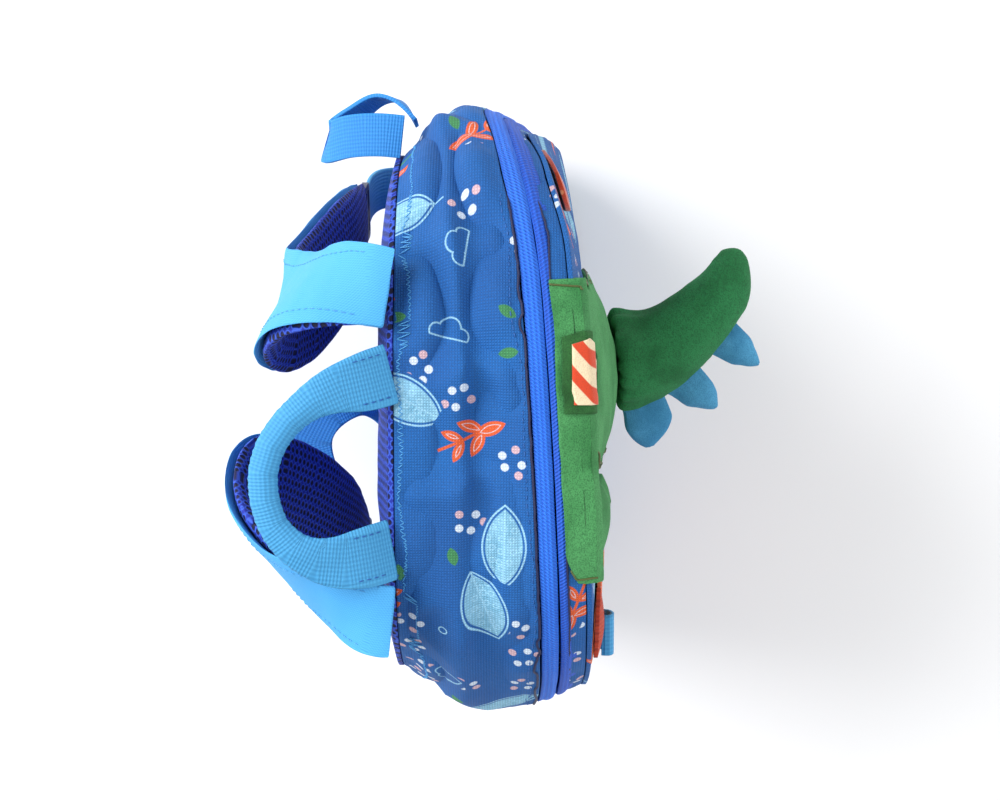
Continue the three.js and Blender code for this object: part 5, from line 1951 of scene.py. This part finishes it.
        self.room.fold(shape, lift)
        skin = BVHTree.FromBMesh(shape)
        self.room.hand_over("tail_stuffed", shape, kit.plush_deep, Slot.GREEN, ["tail"], 0.8)
        for number in (1, 2, 3):
            node = f"tail_spike_{number}"
            spike = self.room.refine(self.room.cut(node), 3, sharp=60, crease=0.9)
            self.room.fold(spike, self.spike_wave.at)
            for vertex in spike.verts:
                spot, normal, _, gap = skin.find_nearest(vertex.co)
                reach = 1 - ease(gap, 2.0 * MM, 9.0 * MM)
                vertex.co = vertex.co.lerp(spot - normal * self.spike_seat, reach)
            self.room.hand_over(node + "_felt", spike, kit.spike, Slot.SPIKE, [node], 0.4)

    def patch(self, kit: "Kit") -> None:
        """Builds the patch on the body.

        Args:
            kit: The materials.
        """
        columns = self.drape_lines()
        plan = (
            ("patch_border", kit.border, Slot.BORDER, 0.0, self.felt),
            ("patch_stripes", kit.stripes, Slot.STRIPE, self.patch_rim, self.felt * 1.7),
        )
        for node, material, slot, rim, height in plan:
            shape = self.pentagon(rim)
            self.room.measure(shape, lambda place, normal: (place.x, place.z))
            for vertex in shape.verts:
                over = height * (self.patch_seat if vertex.co.y > 0 else 1.0)
                vertex.co = self.drape(columns, vertex.co.x, vertex.co.z, over)
            bmesh.ops.recalc_face_normals(shape, faces=shape.faces)
            self.room.hand_over(node + "_felt", shape, material, slot, [node])

    def pentagon(self, rim: float) -> Shape:
        """A flat five-cornered cut of felt with two faces, drawn in by a rim.

        Args:
            rim: How far its edge is drawn in.

        Returns:
            The cut, in x and in z, which runs from the zipper over the seam.
        """
        corners = [Vector((x, 0, z)) * MM for x, z in self.patch_corners]
        middle = sum(corners, Vector()) / len(corners)
        shape = bmesh.new()
        bmesh.ops.create_grid(shape, x_segments=40, y_segments=40, size=20 * MM,
                              matrix=Matrix.Translation(middle) @ Matrix.Rotation(math.pi / 2, 4, "X"))
        for start, end in zip(corners, corners[1:] + corners[:1]):
            outward = (end - start).cross(Vector((0, 1, 0))).normalized()
            if outward.dot(start - middle) < 0:
                outward = -outward
            self.room.trim(shape, start - outward * rim, outward)
        made = bmesh.ops.extrude_face_region(shape, geom=list(shape.faces))
        for item in made["geom"]:
            if isinstance(item, bmesh.types.BMVert):
                item.co.y += 1 * MM
        return shape

    def drape_lines(self) -> list[list[tuple[Vector, Vector, float]]]:
        """Draws lines over the yoke and down the body, from the zipper on.

        Returns:
            The lines, each with its places, normals and lengths.
        """
        result = []
        for k in range(self.line_count):
            axis = Vector(((self.line_start + self.line_gap * k) * MM, *self.line_axis))
            line: list[tuple[Vector, Vector, float]] = []
            for step in range(90):
                angle = math.radians(-8 + step * 1.2)
                way = Vector((0, -math.sin(angle), math.cos(angle)))
                spot = self.ground.ray_cast(axis + way * 0.2, -way)[0]
                if spot is None:
                    continue
                run = line[-1][2] + (spot - line[-1][0]).length if line else 0.0
                line.append((spot, way, run))
            result.append(line)
        return result

    def drape(self, columns: list[list[tuple[Vector, Vector, float]]], x: float, run: float,
              height: float) -> Vector:
        """The place of a point of the patch on the body.

        Args:
            columns: The lines that it lies along.
            x: Its place sideways.
            run: Its distance from the zipper.
            height: Its height over the cloth.

        Returns:
            The place.
        """
        spot = max(0.0, min(len(columns) - 1.001, (x / MM - self.line_start) / self.line_gap))
        places = []
        for line in (columns[int(spot)], columns[int(spot) + 1]):
            i = next((k for k in range(len(line) - 1) if line[k + 1][2] >= run), len(line) - 2)
            share = (run - line[i][2]) / max(line[i + 1][2] - line[i][2], 1e-6)
            base = line[i][0].lerp(line[i + 1][0], share)
            places.append(base + line[i][1].lerp(line[i + 1][1], share).normalized() * height)
        return places[0].lerp(places[1], spot - int(spot))

    def make(self, kit: "Kit") -> None:
        """Builds the whole animal.

        Args:
            kit: The materials.
        """
        self.body(kit)
        self.patch(kit)
        self.tail(kit)


@dataclass
class FrontPieces:
    """The pocket, its band and the spotted plush on the front."""

    room: Workroom
    needle: Seamstress

    def make(self, kit: "Kit") -> None:
        """Builds the pieces.

        Args:
            kit: The materials.
        """
        plan = (
            ("pocket", kit.pocket, Slot.POCKET, 1.0 * MM, None),
            ("pocket_band", kit.band, Slot.BAND, 0.3 * MM, None),
            ("spotted_felt", kit.spotted, Slot.SPOTTED, 0.6 * MM, 0.4),
        )
        for node, material, slot, depth, fill in plan:
            shape = self.room.refine(self.room.cut(node), 3, sharp=40, crease=0.7)
            self.room.fold(shape, lambda place: depth * ripple(place, 14 * MM, 6.0))
            tree = self.room.dress(
                node + "_cloth", node, shape, lambda place, normal: (place.x, place.z),
                material, slot, fill)
            if node == "pocket":
                low, high = (Vector(corner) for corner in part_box(node))
                inner = [((low + high) / 2).lerp(p, 0.94) for p in self.needle.rim(node, tree)]
                for point in inner:
                    point.y = low.y
                self.needle.row("pocket_stitches", tree, [inner], kit.pale_thread, Slot.POCKET)


@dataclass
class Fittings:
    """The buckles and the zipper's slider."""

    room: Workroom
    rounding: float = 0.5 * MM
    sharp: float = 40.0

    def make(self, kit: "Kit") -> None:
        """Rounds and dresses the fittings.

        Args:
            kit: The materials.
        """
        for node in ("buckle_right", "buckle_left", "zip_slider"):
            shape = self.room.cut(node)
            sharp = [e for e in shape.edges
                     if len(e.link_faces) == 2 and e.calc_face_angle() > math.radians(self.sharp)]
            bmesh.ops.bevel(shape, geom=sharp, offset=self.rounding, affect="EDGES", segments=3,
                            profile=0.5, material=-1, clamp_overlap=True)
            bmesh.ops.recalc_face_normals(shape, faces=shape.faces)
            self.room.hand_over(node + "_moulded", shape, kit.plastic, Slot.PLASTIC, [node])


class Kit:
    """Every material, made once."""

    def __init__(self) -> None:
        """Mixes the materials."""
        self.canvas = PrintedCanvas().make()
        self.spacer = SpacerMesh().make()
        knit = {"rib_across": 1.7, "rib_along": 1.4, "depth": 0.5, "slant": 0.7, "speckle": 0.5}
        self.tape = RibbedCloth("zip_knit", srgb(0, 50, 170), srgb(46, 140, 255), **knit).make()
        self.tape_shaded = RibbedCloth(
            "zip_knit_shaded", srgb(0, 38, 140), srgb(30, 112, 236), **knit).make()
        self.twill = RibbedCloth(
            "strap_twill", srgb(56, 146, 210), srgb(84, 178, 236),
            rib_across=0.9, rib_along=1.1, depth=0.14, slant=0.9, speckle=0.3, roughness=0.75).make()
        woven = {"rib_across": 1.7, "rib_along": 1.3, "speckle": 0.3}
        self.webbing = RibbedCloth(
            "webbing", srgb(44, 128, 182), srgb(74, 164, 214), depth=0.3, edge=9.0, **woven).make()
        # Painted shade: the same webbing, darker, for the left webbing that lies in shadow.
        self.webbing_shaded = RibbedCloth(
            "webbing_painted_shade", srgb(24, 96, 172), srgb(42, 128, 204), depth=0.25, edge=9.2, **woven).make()
        self.webbing_bright = RibbedCloth(
            "webbing_loop", srgb(26, 114, 190), srgb(46, 142, 216),
            rib_across=1.5, rib_along=1.2, depth=0.25, speckle=0.3, edge=7.6).make()
        self.plush = Pile("plush_green", srgb(50, 122, 64), srgb(22, 74, 38), srgb(74, 148, 86)).make()
        self.plush_deep = Pile("plush_tail", srgb(20, 98, 50), srgb(8, 54, 28), srgb(40, 126, 72)).make()
        self.spike = Pile(
            "spike_felt", srgb(56, 130, 172), srgb(38, 100, 142), srgb(80, 156, 196),
            nap=0.4, patches=18.0, sheen=0.25, relief=0.12).make()
        self.border = Pile(
            "border_felt", srgb(26, 82, 32), srgb(12, 50, 20), srgb(44, 104, 48),
            nap=0.4, patches=9.0, sheen=0.2).make()
        self.stripes = StripedFelt().make()
        self.spotted = SpottedPlush().make()
        self.pocket = RibbedCloth(
            "pocket_canvas", srgb(204, 84, 32), srgb(236, 118, 56),
            rib_across=0.9, rib_along=0.9, depth=0.15, speckle=0.4, roughness=0.8).make()
        # The band's dark red-orange is partly its own orange and partly painted shade, for its front face
        # lying in shade.
        self.band = RibbedCloth(
            "band_webbing", srgb(150, 36, 8), srgb(206, 66, 24),
            rib_across=1.9, rib_along=2.2, depth=0.7, speckle=0.2).make()
        self.plastic = MouldedPlastic().make()
        self.blue_thread = Thread("blue_thread", srgb(40, 112, 190), srgb(14, 56, 120)).make()
        self.pale_thread = Thread("pale_thread", srgb(84, 170, 226), srgb(40, 112, 176)).make()
        # Painted shadow: the near-black cord laid in the zipper's grooves, not a sewn thread.
        self.zip_groove_shadow = Thread("seam_shadow", srgb(6, 24, 84), srgb(2, 8, 34)).make()
        self.olive = Thread("olive_piping", srgb(96, 108, 48), srgb(48, 60, 26)).make()


@dataclass
class Studio:
    """The pale floor, the soft light and the camera."""

    eye: Vector = field(default_factory=lambda: Vector((0.098, 0.003, 0.950)))
    tilt: float = math.radians(6.9)
    lens: float = 64.0
    floor_size: float = 6.0

    def camera(self) -> None:
        """Sets the camera over the bag, with the photo's right to -Y."""
        data = bpy.data.cameras.new("camera")
        data.lens = self.lens
        data.sensor_width = 36.0
        camera = linked("camera", data)
        right = Vector((0, -1, 0))
        up = Vector((math.cos(self.tilt), 0, -math.sin(self.tilt)))
        back = Vector((math.sin(self.tilt), 0, math.cos(self.tilt)))
        turn = Matrix((right, up, back)).transposed().to_4x4()
        camera.matrix_world = Matrix.Translation(self.eye) @ turn
        bpy.context.scene.camera = camera

    def floor(self) -> None:
        """Lays the pale floor."""
        shape = bmesh.new()
        bmesh.ops.create_grid(shape, x_segments=2, y_segments=2, size=self.floor_size / 2)
        mesh = bpy.data.meshes.new("floor")
        shape.to_mesh(mesh)
        shape.free()
        paper = Recipe("floor_paper", (0.9, 0.9, 0.9), 0.9)
        mesh.materials.append(paper.finish())
        linked("floor", mesh)

    def lamp(self, name: str, place: Vector, target: Vector, power: float, size: float) -> None:
        """Hangs one soft lamp.

        Args:
            name: Its name.
            place: Where it hangs.
            target: Where it points.
            power: Its power in watts.
            size: The side of its square.
        """
        data = bpy.data.lights.new(name, "AREA")
        data.energy = power
        data.size = size
        lamp = linked(name, data)
        turn = (target - place).to_track_quat("-Z", "Y").to_matrix().to_4x4()
        lamp.matrix_world = Matrix.Translation(place) @ turn

    def make(self) -> None:
        """Builds the studio."""
        self.camera()
        self.floor()
        aim = Vector((0, 0, 0.2))
        self.lamp("key", Vector((0.6, 1.25, 1.25)), aim, 42, 1.2)
        self.lamp("fill", Vector((-0.9, -0.9, 1.6)), aim, 9, 1.4)
        self.lamp("rim", Vector((0.3, -1.4, 0.9)), aim, 8, 1.0)
        world = bpy.data.worlds.new("studio")
        world.use_nodes = True
        background = world.node_tree.nodes["Background"]
        background.inputs[0].default_value = (0.95, 0.97, 1.0, 1)
        background.inputs[1].default_value = 0.6
        bpy.context.scene.world = world
        bpy.context.scene.view_settings.view_transform = "Standard"


def main() -> None:
    """Builds the studio and every piece in order."""
    logging.basicConfig(level=logging.INFO, format="%(message)s")
    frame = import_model()
    room = Workroom(frame)
    needle = Seamstress(room)
    kit = Kit()
    Studio().make()
    shell = Shell(room, needle)
    for part in (shell, Straps(room, needle), Animal(room, needle, shell), FrontPieces(room, needle),
                 Fittings(room)):
        part.make(kit)
        LOG.info("%s done", type(part).__name__)


if __name__ == "__main__":
    main()
